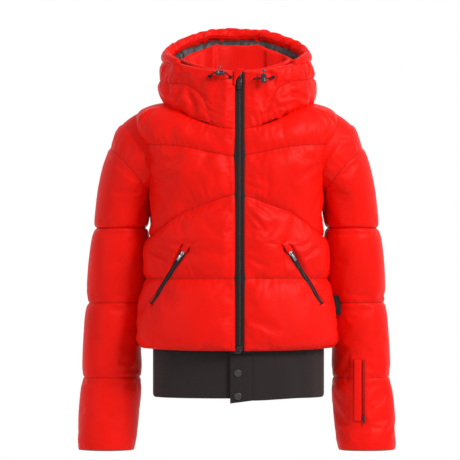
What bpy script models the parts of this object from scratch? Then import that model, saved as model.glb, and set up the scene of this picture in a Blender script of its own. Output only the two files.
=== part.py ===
"""Quilted ski jacket, built as separate sewn and fitted pieces.

Metres, +Z up, front towards -Y, wearer's left towards +X. The origin is the centre of the neck
opening at the height of the back neck seam. Soft panels are plain closed shells.
"""

import math

import bmesh
import bpy
import numpy as np
from mathutils import Matrix, Vector

# ---- driving dimensions -------------------------------------------------------------------
SEAM_GAP = 0.0014  # clearance left at each sewn seam
CURVED_SEAM_GAP = 0.0085  # wider where the panels turn sharply under the hood
HOOD_SHELL = 0.007  # padding of the hood's front pieces and skirt
TOUCH_GAP = 0.0003  # clearance where two pieces rest on each other
SHELL = 0.012  # thickness of a padded panel
FABRIC = 0.0014  # thickness of a lining layer
LINING_DEPTH = 0.0156  # body lining behind the outer surface
HOOD_LINING_DEPTH = 0.0136

HEM_Z = -0.478
CHEST_HALF = 0.174  # half width of the body at the waist seam line
HEM_HALF = 0.187
BODY_POWER = 0.87  # below 1 makes the section squarer than an ellipse

EDGE_TRIM = 0.0015  # share of the torso's height left free at hem and neck
LINING_OPENING = math.radians(10)  # lining stops this far round from the front centre
LINING_START, LINING_SPAN = 0.075, 0.90  # shares of the torso's height

ZIP_X = 0.006  # the front closure sits a little to the wearer's left
ZIP_OPENING = 0.015  # width between the two front edges
ZIP_TOP_Z = 0.058
ZIP_BOTTOM_Y = -0.128
ZIP_TOP_Y = -0.112
ZIP_RECESS = 0.004  # tape face behind the front edges
TAPE_THICK = 0.001
CHAIN_WIDTH = 0.004
CHAIN_THICK = 0.0016
SLIDER_SIZE = (0.009, 0.0022, 0.013)
PULL_SIZE = (0.0085, 0.0016, 0.030)
PULL_STUB = 0.0008  # pull behind its pivot, short enough to turn clear of the slider
MAIN_SLIDER_Z = 0.050
BOX_SIZE = (0.010, 0.004, 0.010)

NECK_SIDE = 0.116  # half width of the neck seam
COWL_HALF = 0.150  # half width of the hood bucket
RIM_SIDE = COWL_HALF - 0.012
RIM_SIDE_Z = 0.088
RIM_BACK_Z = 0.135
BRIM_RADIUS = 0.011
FRONT_PIECE_ANGLE = 58.0  # degrees round from the front centre, hood front piece to crown
SKIRT_TOP = 0.45
SKIRT_ROWS = 5
CROWN_BOTTOM = 0.49
CROWN_TOP = 0.86
GUSSET_INSET = 0.006  # share left free above and below the nape gusset
NAPE_GUSSET_WALL = 0.004
LINING_INSET = 0.02
HOOD_PIVOT = (0.0, -0.065, 0.078)

COLLAR_HALF_TOP = 0.111
COLLAR_HALF_BOTTOM = 0.092
COLLAR_BACK_Z = 0.111
COLLAR_FRONT_Z = 0.060
COLLAR_WALL = 0.009

LOOP_Y = 0.0432  # front face of the hanger loop
LOOP_Z = 0.060
LOOP_WIDTH = 0.008
LOOP_THICK = 0.0012
LOOP_HALF = 0.032  # half length, of which the middle stretch is flat
LOOP_FLAT = 0.018
LOOP_STAND_OFF = 0.0044

BAND_HALF = 0.163
BAND_DEPTH = 0.102
BAND_TOP_Z = -0.455
BAND_BOTTOM_Z = -0.570
BAND_WALL = 0.0028
BAND_LAP = 0.0048  # step between the underlap's face and the overlap's back
PLACKET_EDGE_X = -0.0125
PLACKET_HINGE_X = 0.030
UNDERLAP_REACH = 0.020  # underlap beyond the placket's fold line
PLACKET_TOP_Z = -0.4845
PLACKET_DROP = 0.009  # how far the placket's tip reaches below the band

SNAP_X = 0.0025
SNAP_TOP_Z = -0.4762
SNAP_PITCH = 0.0445
SNAP_RADIUS = 0.0072
SNAP_SHANK = 0.0022
SNAP_HOLE_GAP = 0.0004

POCKET_TOP = (0.100, -0.283)  # x and z of the slit's upper end
POCKET_BOTTOM = (0.165, -0.388)
POCKET_SLIT = 0.014
POCKET_SLIDER = (0.008, 0.0022, 0.011)
POCKET_PULL = (0.0055, 0.0016, 0.019)
POCKET_TAPE_OUT = -0.0025  # face of the pocket tape behind the panel's face
POCKET_TAPE_THICK = 0.0012
BAG_THICK = 0.0012
BAG_TURN = 0.75  # how far the pocket bag runs round, in radians, and up, as a share
BAG_SHARE = 0.26
BAG_SHIFT = 0.012

SLEEVE_SEAM_Z = -0.242
ELBOW_Z = -0.388
CUFF_Z = -0.675
ELBOW_RANGE = 70.0
ELBOW_TILT = math.radians(14.0)  # the bent forearm swings forwards and a little outwards
SHOULDER_PIVOT = (0.190, 0.010, -0.085)
ARMHOLE_CENTRE = (0.0, -0.0915)
ARMHOLE_RADII = (0.077, 0.0800)

WELT_X = 0.2355
WELT_SIZE = (0.017, 0.0035, 0.122)
WELT_TOP_Z = -0.497
PASS_TAPE_SIZE = (0.005, 0.0012, WELT_SIZE[2] - 0.004)
PASS_SLIDER = (0.0048, 0.0018, 0.008)
PASS_PULL = (0.0042, 0.0014, 0.015)
PASS_SLIDER_RISE = 0.008  # slider above the welt's lower end

LABEL_SHARE = 0.19  # height of the side label's middle as a share of the torso's
LABEL_SIZE = (0.009, 0.0012, 0.038)

LOCK_CORD_RADIUS = 0.0013
LOCK_BORE_GAP = 0.0005
LOCK_RADIUS = 0.0054
LOCK_LENGTH_LYING = 0.0165
LOCK_LENGTH_UPRIGHT = 0.019
LOCK_FACE_OUT = 0.0125  # lock's centre in front of the eyelets' face
LOCK_RUN = 0.014  # straight cord either side of the lock's centre
BUTTON_TRAVEL = 0.0025
BUTTON_PROUD = 0.0015  # button left above the barrel when pressed

# ---- stations: (side x, side z, front z, back y, back z), hem to neck seam -----------------
TORSO = (
    (HEM_HALF, HEM_Z, HEM_Z, 0.119, HEM_Z),
    (0.1935, -0.455, -0.455, 0.126, -0.455),
    (0.188, -0.385, -0.385, 0.126, -0.385),
    (0.1795, -0.310, -0.315, 0.124, -0.310),
    (CHEST_HALF, -0.250, -0.258, 0.124, -0.245),
    (0.166, -0.190, -0.200, 0.125, -0.175),
    (0.178, -0.105, -0.150, 0.122, -0.105),
    (0.194, -0.046, -0.108, 0.113, -0.058),
    (0.189, -0.019, -0.080, 0.101, -0.030),
    (0.152, -0.006, -0.062, 0.093, -0.010),
    (NECK_SIDE + 0.003, -0.0015, -0.0495, 0.088, -0.0015),
)
# side x, side z, front z, back y, back z from the neck seam to the hood's rim
COWL = (
    (NECK_SIDE, 0.0045, -0.0465, 0.084, 0.0045),
    (NECK_SIDE + 0.765 * (COWL_HALF - NECK_SIDE), 0.0075, -0.026, 0.120, 0.014),
    (COWL_HALF, 0.036, 0.004, 0.138, 0.050),
    (COWL_HALF - 0.0015, 0.066, 0.034, 0.130, 0.098),
    (RIM_SIDE, RIM_SIDE_Z, COLLAR_FRONT_Z, 0.085, RIM_BACK_Z),
)
# side x, side z, front z, back y, back z of the stand collar; its front stays behind the hood's
COLLAR = (
    (COLLAR_HALF_BOTTOM, 0.004, -0.036, 0.050, 0.006),
    (0.103, 0.030, -0.004, 0.058, 0.040),
    (0.110, 0.062, 0.030, 0.062, 0.078),
    (COLLAR_HALF_TOP, 0.084, COLLAR_FRONT_Z - 0.002, 0.062, COLLAR_BACK_Z),
)
COLLAR_SETBACK = 0.018
# inner x, inner z, outer x, outer z, half depth, centre y, how far front and back are pulled in
SLEEVE = (
    (0.1660, -0.1635, 0.1950, -0.0190, 0.070, 0.000, 0.034),
    (0.1675, -0.1680, 0.2210, -0.0400, 0.071, 0.006, 0.020),
    (0.1690, -0.1740, 0.2410, -0.0740, 0.072, 0.013, 0.009),
    (0.1705, -0.1820, 0.2560, -0.1200, 0.071, 0.020, 0.003),
    (0.1710, -0.1930, 0.2660, -0.1650, 0.069, 0.028, 0.0),
    (0.1725, -0.2100, 0.2720, -0.2070, 0.067, 0.034, 0.0),
    (0.1750, SLEEVE_SEAM_Z, 0.2775, SLEEVE_SEAM_Z, 0.066, 0.038, 0.0),
    (0.1785, -0.310, 0.2845, -0.310, 0.064, 0.043, 0.0),
    (0.1845, ELBOW_Z, 0.2910, ELBOW_Z, 0.061, 0.046, 0.0),
    (0.1930, -0.460, 0.2950, -0.460, 0.059, 0.046, 0.0),
    (0.1890, -0.534, 0.2998, -0.534, 0.057, 0.044, 0.0),
    (0.1950, -0.605, 0.3045, -0.605, 0.055, 0.040, 0.0),
    (0.2020, CUFF_Z, 0.3070, CUFF_Z, 0.052, 0.035, 0.0),
)
ELBOW_Y = 0.046
ELBOW_ROW = 8
ELBOW_CLEARANCE = 0.004  # gusset kept between the two arm pieces at the back of the elbow
CAP_START = 0.06  # stations at which the sleeve cap starts and ends
CAP_END = 5.0
SEAM_STATIONS = 0.03  # gap at a sleeve seam, as a share of a station
GUSSET_WALL = 0.006
FORE_WALL = 0.010

RED = (0.80, 0.018, 0.012)
DEEP_RED = (0.55, 0.010, 0.008)
BLACK_KNIT = (0.030, 0.020, 0.021)
BLACK_TRIM = (0.020, 0.017, 0.018)
METAL = (0.42, 0.42, 0.44)


# ---- general helpers ----------------------------------------------------------------------
def clear_scene():
    for obj in list(bpy.data.objects):
        bpy.data.objects.remove(obj, do_unlink=True)


def new_collection(name):
    collection = bpy.data.collections.new(name)
    bpy.context.scene.collection.children.link(collection)
    return collection


clear_scene()
PARTS = new_collection("ski_jacket")
CUTTERS = new_collection("cutters")


def finish_material(name, colour, roughness, metallic=0.0):
    material = bpy.data.materials.new(name)
    material.use_nodes = True
    shader = material.node_tree.nodes["Principled BSDF"]
    shader.inputs["Base Color"].default_value = (*colour, 1.0)
    shader.inputs["Roughness"].default_value = roughness
    shader.inputs["Metallic"].default_value = metallic
    return material


def add_object(name, bm, colour, roughness=0.6, metallic=0.0, pivot=(0, 0, 0), smooth=True):
    """Makes an object of the bmesh, whose points are in world space, with its origin at pivot."""
    bmesh.ops.translate(bm, verts=bm.verts, vec=-Vector(pivot))
    mesh = bpy.data.meshes.new(name)
    bm.to_mesh(mesh)
    bm.free()
    if smooth:
        mesh.shade_smooth()
        mesh.set_sharp_from_angle(angle=math.radians(40))
    mesh.materials.append(finish_material(name, colour, roughness, metallic))
    obj = bpy.data.objects.new(name, mesh)
    obj.location = pivot
    PARTS.objects.link(obj)
    return obj


def surface_grid(point, columns, rows, closed=False):
    """A grid whose vertex at shares (u, v) of its width and height lies at point(u, v)."""
    bm = bmesh.new()
    bmesh.ops.create_grid(bm, x_segments=columns, y_segments=rows, size=1.0)
    for vert in bm.verts:
        u = (vert.co.x + 1.0) / 2.0
        v = (vert.co.y + 1.0) / 2.0
        vert.co = Vector(point(u, v))
    if closed:
        bmesh.ops.remove_doubles(bm, verts=bm.verts, dist=0.00002)
    return bm


def shift_along_normals(bm, distance):
    bm.normal_update()
    moved = [(vert, vert.co + vert.normal * distance) for vert in bm.verts]
    for vert, place in moved:
        vert.co = place


def thicken(obj, thickness, offset=-1.0):
    modifier = obj.modifiers.new("thickness", "SOLIDIFY")
    modifier.thickness = thickness
    modifier.offset = offset
    modifier.use_even_offset = False


def cut(obj, cutter):
    modifier = obj.modifiers.new("cut", "BOOLEAN")
    modifier.operation = "DIFFERENCE"
    modifier.solver = "EXACT"
    modifier.object = cutter


def add_cutter(name, bm):
    mesh = bpy.data.meshes.new(name)
    bm.to_mesh(mesh)
    bm.free()
    obj = bpy.data.objects.new(name, mesh)
    obj.hide_render = True
    obj.display_type = "WIRE"
    CUTTERS.objects.link(obj)
    return obj


def block(size, matrix, bevel=0.0):
    """A box of the given size whose centre and axes come from the matrix."""
    bm = bmesh.new()
    bmesh.ops.create_cube(bm, size=1.0)
    bmesh.ops.scale(bm, vec=size, verts=bm.verts)
    if bevel > 0.0:
        bmesh.ops.bevel(
            bm, geom=bm.edges, offset=bevel, segments=1, profile=0.5, affect="EDGES", material=-1
        )
    bmesh.ops.transform(bm, matrix=matrix, verts=bm.verts)
    return bm


def axes_matrix(centre, outward, along):
    """A right-handed matrix whose local Y is outward and local Z is along."""
    outward, along = Vector(outward).normalized(), Vector(along).normalized()
    columns = [outward.cross(along), outward, along]
    matrix = Matrix.Identity(4)
    for index, column in enumerate(columns):
        for row in range(3):
            matrix[row][index] = column[row]
    matrix.translation = Vector(centre)
    return matrix


def turned(profile, matrix, segments=16):
    """A solid of revolution about local Z from a closed list of (radius, z) points."""
    bm = bmesh.new()
    verts = [bm.verts.new((radius, 0.0, z)) for radius, z in profile]
    edges = [bm.edges.new((a, b)) for a, b in zip(verts, verts[1:])]
    bmesh.ops.spin(
        bm,
        geom=verts + edges,
        cent=(0, 0, 0),
        axis=(0, 0, 1),
        angle=2 * math.pi,
        steps=segments,
        use_merge=True,
    )
    bmesh.ops.remove_doubles(bm, verts=bm.verts, dist=0.00001)
    bmesh.ops.recalc_face_normals(bm, faces=bm.faces)
    bmesh.ops.transform(bm, matrix=matrix, verts=bm.verts)
    return bm


def tube(name, points, radius, colour, roughness=0.6, resolution=2):
    """A round cord through the points, made a closed mesh object."""
    curve = bpy.data.curves.new(name + "_path", "CURVE")
    curve.dimensions = "3D"
    curve.bevel_depth = radius
    curve.bevel_resolution = resolution
    curve.use_fill_caps = True
    curve.render_resolution_u = 0
    spline = curve.splines.new("POLY")
    spline.points.add(len(points) - 1)
    for target, place in zip(spline.points, points):
        target.co = (*place, 1.0)
    carrier = bpy.data.objects.new(name + "_path", curve)
    PARTS.objects.link(carrier)
    evaluated = carrier.evaluated_get(bpy.context.evaluated_depsgraph_get())
    mesh = bpy.data.meshes.new_from_object(evaluated)
    bpy.data.objects.remove(carrier, do_unlink=True)
    bm = bmesh.new()
    bm.from_mesh(mesh)
    bmesh.ops.remove_doubles(bm, verts=bm.verts, dist=0.00001)
    return add_object(name, bm, colour, roughness)


def smooth_track(values, t):
    """Catmull-Rom interpolation of a list of numbers at station t."""
    last = len(values) - 1
    t = min(max(t, 0.0), float(last))
    i = min(int(t), last - 1)
    f = t - i
    p1, p2 = values[i], values[i + 1]
    p0 = values[i - 1] if i > 0 else 2 * p1 - p2
    p3 = values[i + 2] if i + 2 <= last else 2 * p2 - p1
    a = 2 * p1
    b = p2 - p0
    c = 2 * p0 - 5 * p1 + 4 * p2 - p3
    d = 3 * p1 - p0 - 3 * p2 + p3
    return 0.5 * (a + b * f + c * f * f + d * f ** 3)


def signed_power(value, power):
    return math.copysign(abs(value) ** power, value)


def smooth_step(value, low, high):
    share = min(max((value - low) / (high - low), 0.0), 1.0)
    return share * share * (3 - 2 * share)


# ---- the body's surfaces ------------------------------------------------------------------
def zip_y(z):
    """Depth of the front closure, which leans back slightly towards its top."""
    share = (z - HEM_Z) / (ZIP_TOP_Z - HEM_Z)
    return ZIP_BOTTOM_Y + (ZIP_TOP_Y - ZIP_BOTTOM_Y) * share


def ring_point(table, angle, share, setback=0.0, back_power=2.0):
    """Point of a station table at an angle from the front centre and a share of its height."""
    t = share * (len(table) - 1)
    side_x, side_z, front_z, back_y, back_z = (
        smooth_track([row[k] for row in table], t) for k in range(5)
    )
    sine, cosine = math.sin(angle), math.cos(angle)
    x = side_x * signed_power(sine, BODY_POWER)
    if cosine >= 0.0:
        depth = -(zip_y(front_z) + setback)
        weight = cosine * cosine
        return (x, -depth * signed_power(cosine, BODY_POWER), side_z + (front_z - side_z) * weight)
    weight = abs(cosine) ** back_power
    return (x, back_y * signed_power(-cosine, BODY_POWER), side_z + (back_z - side_z) * weight)


def torso_point(angle, share):
    return ring_point(TORSO, angle, share)


def cowl_point(angle, share):
    return ring_point(COWL, angle, share, back_power=1.3)


def collar_point(angle, share):
    return ring_point(COLLAR, angle, share, setback=COLLAR_SETBACK)


def edge_angle(table, share, x):
    """Angle at which the ring at this share has the given x near the front centre."""
    side_x = smooth_track([row[0] for row in table], share * (len(table) - 1))
    return math.copysign(math.asin((abs(x) / side_x) ** (1 / BODY_POWER)), x)


def front_edges(side):
    """x of the front edge on one side, +1 for the wearer's left."""
    return ZIP_X + side * ZIP_OPENING / 2


def on_torso_front(x, z):
    """Angle, share and depth of the torso's front surface at the given x and z."""
    angle, share = math.asin(max(-0.98, min(0.98, x / 0.19))), 0.3
    for _ in range(40):
        px, _, pz = torso_point(angle, share)
        step = 1e-4
        ax, _, az = torso_point(angle + step, share)
        sx, _, sz = torso_point(angle, share + step)
        jacobian = np.array([[ax - px, sx - px], [az - pz, sz - pz]]) / step
        change = np.linalg.solve(jacobian, np.array([x - px, z - pz]))
        angle += float(np.clip(change[0], -0.1, 0.1))
        share += float(np.clip(change[1], -0.05, 0.05))
    return angle, share, torso_point(angle, share)[1]


def sleeve_point(side, turn, t):
    """Sleeve surface: turn 0 at the back, 90 degrees outside, 180 at the front; t in stations."""
    inner_x, inner_z, outer_x, outer_z, half_depth, centre_y, pull = (
        smooth_track([row[k] for row in SLEEVE], t) for k in range(7)
    )
    sine, cosine = math.sin(turn), math.cos(turn)
    x = (inner_x + outer_x) / 2 + (outer_x - inner_x) / 2 * sine - pull * cosine * cosine
    z = (inner_z + outer_z) / 2 + (outer_z - inner_z) / 2 * sine
    return (side * x, centre_y + half_depth * cosine, z)


def sleeve_station(z):
    """Station at which the sleeve's section has the given height, below the cap."""
    heights = [row[3] for row in SLEEVE][5:]
    return 5.0 + float(np.interp(-z, [-h for h in heights], range(len(heights))))


# ---- torso --------------------------------------------------------------------------------
def armhole_cutter(side):
    """A prism through the side of the body with the armhole's outline."""
    y, z = ARMHOLE_CENTRE
    bm = bmesh.new()
    bmesh.ops.create_cone(bm, cap_ends=True, segments=28, radius1=1.0, radius2=1.0, depth=1.0)
    bmesh.ops.rotate(bm, matrix=Matrix.Rotation(math.pi / 2, 3, "Y"), verts=bm.verts)
    bmesh.ops.scale(bm, vec=(0.20, ARMHOLE_RADII[0], ARMHOLE_RADII[1]), verts=bm.verts)
    bmesh.ops.translate(bm, vec=(side * 0.205, y, z), verts=bm.verts)
    return add_cutter(f"armhole_cutter_{side}", bm)


def pocket_frame(side):
    """Ends and axes of a hand-pocket zip: local Y is outward, local Z runs down the slit."""
    (top_x, top_z), (bottom_x, bottom_z) = POCKET_TOP, POCKET_BOTTOM
    top = Vector((side * top_x, on_torso_front(top_x, top_z)[2], top_z))
    bottom = Vector((side * bottom_x, on_torso_front(bottom_x, bottom_z)[2], bottom_z))
    along = (bottom - top).normalized()
    outward = Vector((side * abs(along.y), -abs(along.x), 0.0)).normalized()
    return top, bottom, axes_matrix((top + bottom) / 2, outward, along)


def pocket_cutter(side):
    top, bottom, matrix = pocket_frame(side)
    size = (POCKET_SLIT, 0.05, (bottom - top).length + 0.004)
    return add_cutter(f"pocket_cutter_{side}", block(size, matrix))


def front_panel(name, side, armhole, pocket):
    def point(u, v):
        v = EDGE_TRIM + v * (1 - 2 * EDGE_TRIM)
        start = edge_angle(TORSO, v, front_edges(side))
        end = side * (math.pi / 2 - SEAM_GAP / CHEST_HALF)
        low, high = (start, end) if side > 0 else (end, start)
        return torso_point(low + (high - low) * u, v)

    obj = add_object(name, surface_grid(point, 11, 14), RED)
    thicken(obj, SHELL)
    cut(obj, armhole)
    cut(obj, pocket)


def back_panel(armholes):
    def point(u, v):
        v = EDGE_TRIM + v * (1 - 2 * EDGE_TRIM)
        margin = SEAM_GAP / CHEST_HALF
        angle = math.pi / 2 + margin + u * (math.pi - 2 * margin)
        return torso_point(angle, v)

    obj = add_object("back_panel", surface_grid(point, 16, 14), RED)
    thicken(obj, SHELL)
    for armhole in armholes:
        cut(obj, armhole)


def body_lining(armholes):
    """One lining layer behind the three panels, open at the front closure."""

    def point(u, v):
        angle = LINING_OPENING + u * (2 * math.pi - 2 * LINING_OPENING)
        return torso_point(angle, LINING_START + v * LINING_SPAN)

    bm = surface_grid(point, 30, 9)
    shift_along_normals(bm, -LINING_DEPTH)
    obj = add_object("body_lining", bm, BLACK_TRIM)
    thicken(obj, FABRIC)
    for armhole in armholes:
        cut(obj, armhole)


# ---- hood and collar ----------------------------------------------------------------------
def front_piece_edge(share):
    """Angle of the curved seam between a hood front piece and the skirt or crown."""
    neck, top = math.radians(27.0), math.radians(FRONT_PIECE_ANGLE)
    return neck + (top - neck) * smooth_step(share, 0.22, SKIRT_TOP)


def hood_front(name, side):
    """A front piece; its lower rows match the skirt's, so the curved seam meets row by row."""
    def point(u, v):
        share = 2 * v * SKIRT_TOP if v < 0.5 else SKIRT_TOP + (2 * v - 1) * (1 - SKIRT_TOP)
        start = edge_angle(COWL, share, front_edges(side))
        end = side * (front_piece_edge(share) - CURVED_SEAM_GAP / COWL_HALF)
        low, high = (start, end) if side > 0 else (end, start)
        return cowl_point(low + (high - low) * u, share)

    obj = add_object(name, surface_grid(point, 6, 2 * SKIRT_ROWS), RED)
    thicken(obj, HOOD_SHELL)


def wrapped_cowl(low_share, high_share, edge, columns, rows, inset=0.0):
    """Grid on the cowl from one front piece round the back to the other."""

    def point(u, v):
        share = low_share + v * (high_share - low_share)
        start = edge(share) + SEAM_GAP / COWL_HALF
        return cowl_point(start + u * (2 * math.pi - 2 * start), share)

    bm = surface_grid(point, columns, rows)
    if inset:
        shift_along_normals(bm, -inset)
    return bm


def crown_edge(_share):
    return math.radians(FRONT_PIECE_ANGLE + 2.0)


def hood_pieces():
    skirt_bm = wrapped_cowl(0.0, SKIRT_TOP, front_piece_edge, 26, SKIRT_ROWS)
    skirt = add_object("hood_skirt", skirt_bm, RED)
    thicken(skirt, HOOD_SHELL)
    gusset_low, gusset_high = SKIRT_TOP + GUSSET_INSET, CROWN_BOTTOM - GUSSET_INSET
    gusset = add_object("hood_gusset", wrapped_cowl(gusset_low, gusset_high, crown_edge, 26, 1), DEEP_RED)
    thicken(gusset, NAPE_GUSSET_WALL)
    crown_bm = wrapped_cowl(CROWN_BOTTOM, CROWN_TOP, crown_edge, 26, 4)
    crown = add_object("hood_crown", crown_bm, RED, pivot=HOOD_PIVOT)
    thicken(crown, SHELL)
    lining_low, lining_high = CROWN_BOTTOM + LINING_INSET, CROWN_TOP - LINING_INSET
    lining_bm = wrapped_cowl(lining_low, lining_high, crown_edge, 26, 4, inset=HOOD_LINING_DEPTH)
    lining = add_object("hood_lining", lining_bm, BLACK_TRIM, pivot=HOOD_PIVOT)
    thicken(lining, FABRIC)


def hood_brim():
    """The rolled rim of the hood, a full round tube from one side to the other."""
    start = crown_edge(0.0) + SEAM_GAP / COWL_HALF
    count = 28
    span = 2 * math.pi - 2 * start
    points = [cowl_point(start + i / count * span, 1.0) for i in range(count + 1)]
    obj = tube("hood_brim", points, BRIM_RADIUS, RED, resolution=2)
    shift = Vector(HOOD_PIVOT)
    obj.data.transform(Matrix.Translation(-shift))
    obj.location = shift


def inner_collar():
    gap = ZIP_OPENING / 2 + 0.003

    def point(u, v):
        start = edge_angle(COLLAR, v, ZIP_X + gap)
        end = 2 * math.pi + edge_angle(COLLAR, v, ZIP_X - gap)
        return collar_point(start + u * (end - start), v)

    obj = add_object("inner_collar", surface_grid(point, 28, 4), RED)
    thicken(obj, COLLAR_WALL)


def hanger_loop():
    """A tape loop behind the neck: flat in the middle, its two ends sewn to the collar."""

    def point(u, v):
        x = (2 * u - 1) * LOOP_HALF
        bend = smooth_step(abs(x), LOOP_FLAT, LOOP_HALF)
        return (x, LOOP_Y + LOOP_STAND_OFF * bend, LOOP_Z + (v - 0.5) * LOOP_WIDTH)

    obj = add_object("hanger_loop", surface_grid(point, 14, 1), BLACK_TRIM, smooth=False)
    thicken(obj, LOOP_THICK)


# ---- waistband ----------------------------------------------------------------------------
def band_point(angle, z, depth_step):
    x = (BAND_HALF + depth_step) * signed_power(math.sin(angle), BODY_POWER)
    y = -(BAND_DEPTH + depth_step) * signed_power(math.cos(angle), BODY_POWER)
    return (x, y, z)


def band_angle(x, depth_step):
    return math.copysign(math.asin((abs(x) / (BAND_HALF + depth_step)) ** (1 / BODY_POWER)), x)


def band_piece(name, start, end, columns, step, bottom=None, top=BAND_TOP_Z, pivot=(0, 0, 0)):
    """A stretch of band between two angles; bottom gives the lower edge's height at x."""

    def point(u, v):
        angle = start + (end - start) * u
        low = bottom(band_point(angle, 0, step)[0]) if bottom else BAND_BOTTOM_Z
        return band_point(angle, low + (top - low) * v, step)

    obj = add_object(name, surface_grid(point, columns, 3), BLACK_KNIT, pivot=pivot)
    thicken(obj, BAND_WALL)
    return obj


def overlap_step():
    return BAND_LAP + BAND_WALL


def placket_bottom(x):
    share = min(max((PLACKET_HINGE_X - x) / (PLACKET_HINGE_X - PLACKET_EDGE_X), 0.0), 1.0)
    return BAND_BOTTOM_Z - PLACKET_DROP * share


def snap_hole_cutter(index):
    matrix = snap_matrix(index)
    bm = bmesh.new()
    radius = SNAP_SHANK + SNAP_HOLE_GAP
    bmesh.ops.create_cone(bm, cap_ends=True, segments=16, radius1=radius, radius2=radius, depth=0.012)
    bmesh.ops.transform(bm, matrix=matrix, verts=bm.verts)
    return add_cutter(f"snap_hole_cutter_{index}", bm)


def snap_matrix(index):
    """Local Z of a snap points out of the band; its origin is the overlap's outer face."""
    z = SNAP_TOP_Z - index * SNAP_PITCH
    face = band_point(band_angle(SNAP_X, overlap_step()), z, overlap_step())
    return axes_matrix(face, (0, 0, 1), (0, -1, 0))


def waistband():
    side = math.pi / 2
    margin = SEAM_GAP / BAND_HALF
    step = overlap_step()
    under_end = band_angle(PLACKET_HINGE_X + UNDERLAP_REACH, 0.0)
    band_piece("waistband_right_front", -side + margin, under_end, 14, 0.0)
    hinge_angle = band_angle(PLACKET_HINGE_X, step)
    band_piece("waistband_left_front", hinge_angle + margin, side - margin, 8, step)
    band_piece("waistband_back", side + margin, 3 * side - margin, 16, 0.0)
    upper_low = PLACKET_TOP_Z + 2 * SEAM_GAP
    free_edge = band_angle(PLACKET_EDGE_X, step)
    upper = band_piece(
        "placket_stay", free_edge, hinge_angle - margin, 8, step, bottom=lambda x: upper_low
    )
    flap = band_piece(
        "placket_flap",
        free_edge,
        hinge_angle - margin,
        8,
        step,
        placket_bottom,
        PLACKET_TOP_Z,
        placket_pivot(),
    )
    for index in range(3):
        cut(upper if index == 0 else flap, snap_hole_cutter(index))


def placket_pivot():
    x, y, _ = band_point(band_angle(PLACKET_HINGE_X, overlap_step()), 0, overlap_step())
    return (x, y, PLACKET_TOP_Z)


def snaps():
    """Each cap is a spool through the placket; its stud sits on the underlap behind it."""
    back = -BAND_WALL
    gap = TOUCH_GAP
    spool = (
        (0.0, 0.0022),
        (0.0050, 0.0022),
        (SNAP_RADIUS, 0.0010),
        (SNAP_RADIUS, gap),
        (SNAP_SHANK, gap),
        (SNAP_SHANK, back - gap),
        (0.0052, back - gap),
        (0.0052, back - gap - 0.0014),
        (0.0, back - gap - 0.0014),
    )
    floor = -BAND_WALL - BAND_LAP
    stud = (
        (0.0, floor + gap + 0.0024),
        (0.0018, floor + gap + 0.0024),
        (0.0020, floor + gap + 0.0009),
        (0.0050, floor + gap + 0.0009),
        (0.0050, floor + gap),
        (0.0, floor + gap),
    )
    for index in range(3):
        matrix = snap_matrix(index)
        pivot = (0, 0, 0) if index == 0 else placket_pivot()
        add_object(f"snap_cap_{index + 1}", turned(spool, matrix), BLACK_TRIM, 0.35, pivot=pivot)
        add_object(f"snap_stud_{index + 1}", turned(stud, matrix), METAL, 0.35, 1.0)


# ---- main zip -----------------------------------------------------------------------------
def main_zip_frame(z):
    """Axes of the closure at height z: local X is the wearer's right, Y outward, Z up the zip."""
    along = Vector((0.0, ZIP_TOP_Y - ZIP_BOTTOM_Y, ZIP_TOP_Z - HEM_Z)).normalized()
    outward = Vector((0.0, -along.z, along.y))
    return axes_matrix((ZIP_X, zip_y(z), z), outward, along)


def in_frame(matrix, x=0.0, out=0.0, up=0.0):
    return matrix @ Matrix.Translation((x, out, up))


def main_zip():
    low, high = HEM_Z + BOX_SIZE[2] + 0.001, ZIP_TOP_Z - 0.002
    middle = main_zip_frame((low + high) / 2)
    length = high - low
    tape_out = -ZIP_RECESS - TAPE_THICK / 2
    inner = CHAIN_WIDTH / 2 + TOUCH_GAP
    outer = ZIP_OPENING / 2 - 0.0007
    for side, word in ((1, "right"), (-1, "left")):
        size = (outer - inner, TAPE_THICK, length)
        place = in_frame(middle, side * (outer + inner) / 2, tape_out)
        add_object(f"main_zip_tape_{word}", block(size, place), BLACK_TRIM, smooth=False)
    chain_place = in_frame(middle, 0.0, tape_out)
    chain = block((CHAIN_WIDTH, CHAIN_THICK, length), chain_place)
    add_object("main_zip_chain", chain, BLACK_TRIM, 0.4, smooth=False)
    box_place = in_frame(main_zip_frame(HEM_Z + BOX_SIZE[2] / 2), 0.0, tape_out)
    add_object("main_zip_box", block(BOX_SIZE, box_place, 0.0005), METAL, 0.35, 1.0)
    chain_face = tape_out + CHAIN_THICK / 2
    slider_and_pull("main_zip", main_zip_frame(MAIN_SLIDER_Z), chain_face, SLIDER_SIZE, PULL_SIZE, -1.0)


def slider_and_pull(name, frame, chain_face, slider_size, pull_size, hang):
    """A slider plate on the chain with a bridge in front, and the pull that hangs from it."""
    width, thick, height = slider_size
    plate_out = chain_face + TOUCH_GAP + thick / 2
    plate = block(slider_size, in_frame(frame, 0.0, plate_out), 0.0004)
    add_object(f"{name}_slider", plate, METAL, 0.3, 1.0, pivot=frame.translation)
    pull_width, pull_thick, pull_length = pull_size
    pull_out = plate_out + thick / 2 + 2 * TOUCH_GAP + pull_thick / 2
    pivot_up = -hang * height * 0.25
    pivot = in_frame(frame, 0.0, pull_out, pivot_up).translation
    centre = in_frame(frame, 0.0, pull_out, pivot_up + hang * (pull_length / 2 - PULL_STUB))
    add_object(f"{name}_pull", block(pull_size, centre, 0.0004), METAL, 0.3, 1.0, pivot=pivot)


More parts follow.
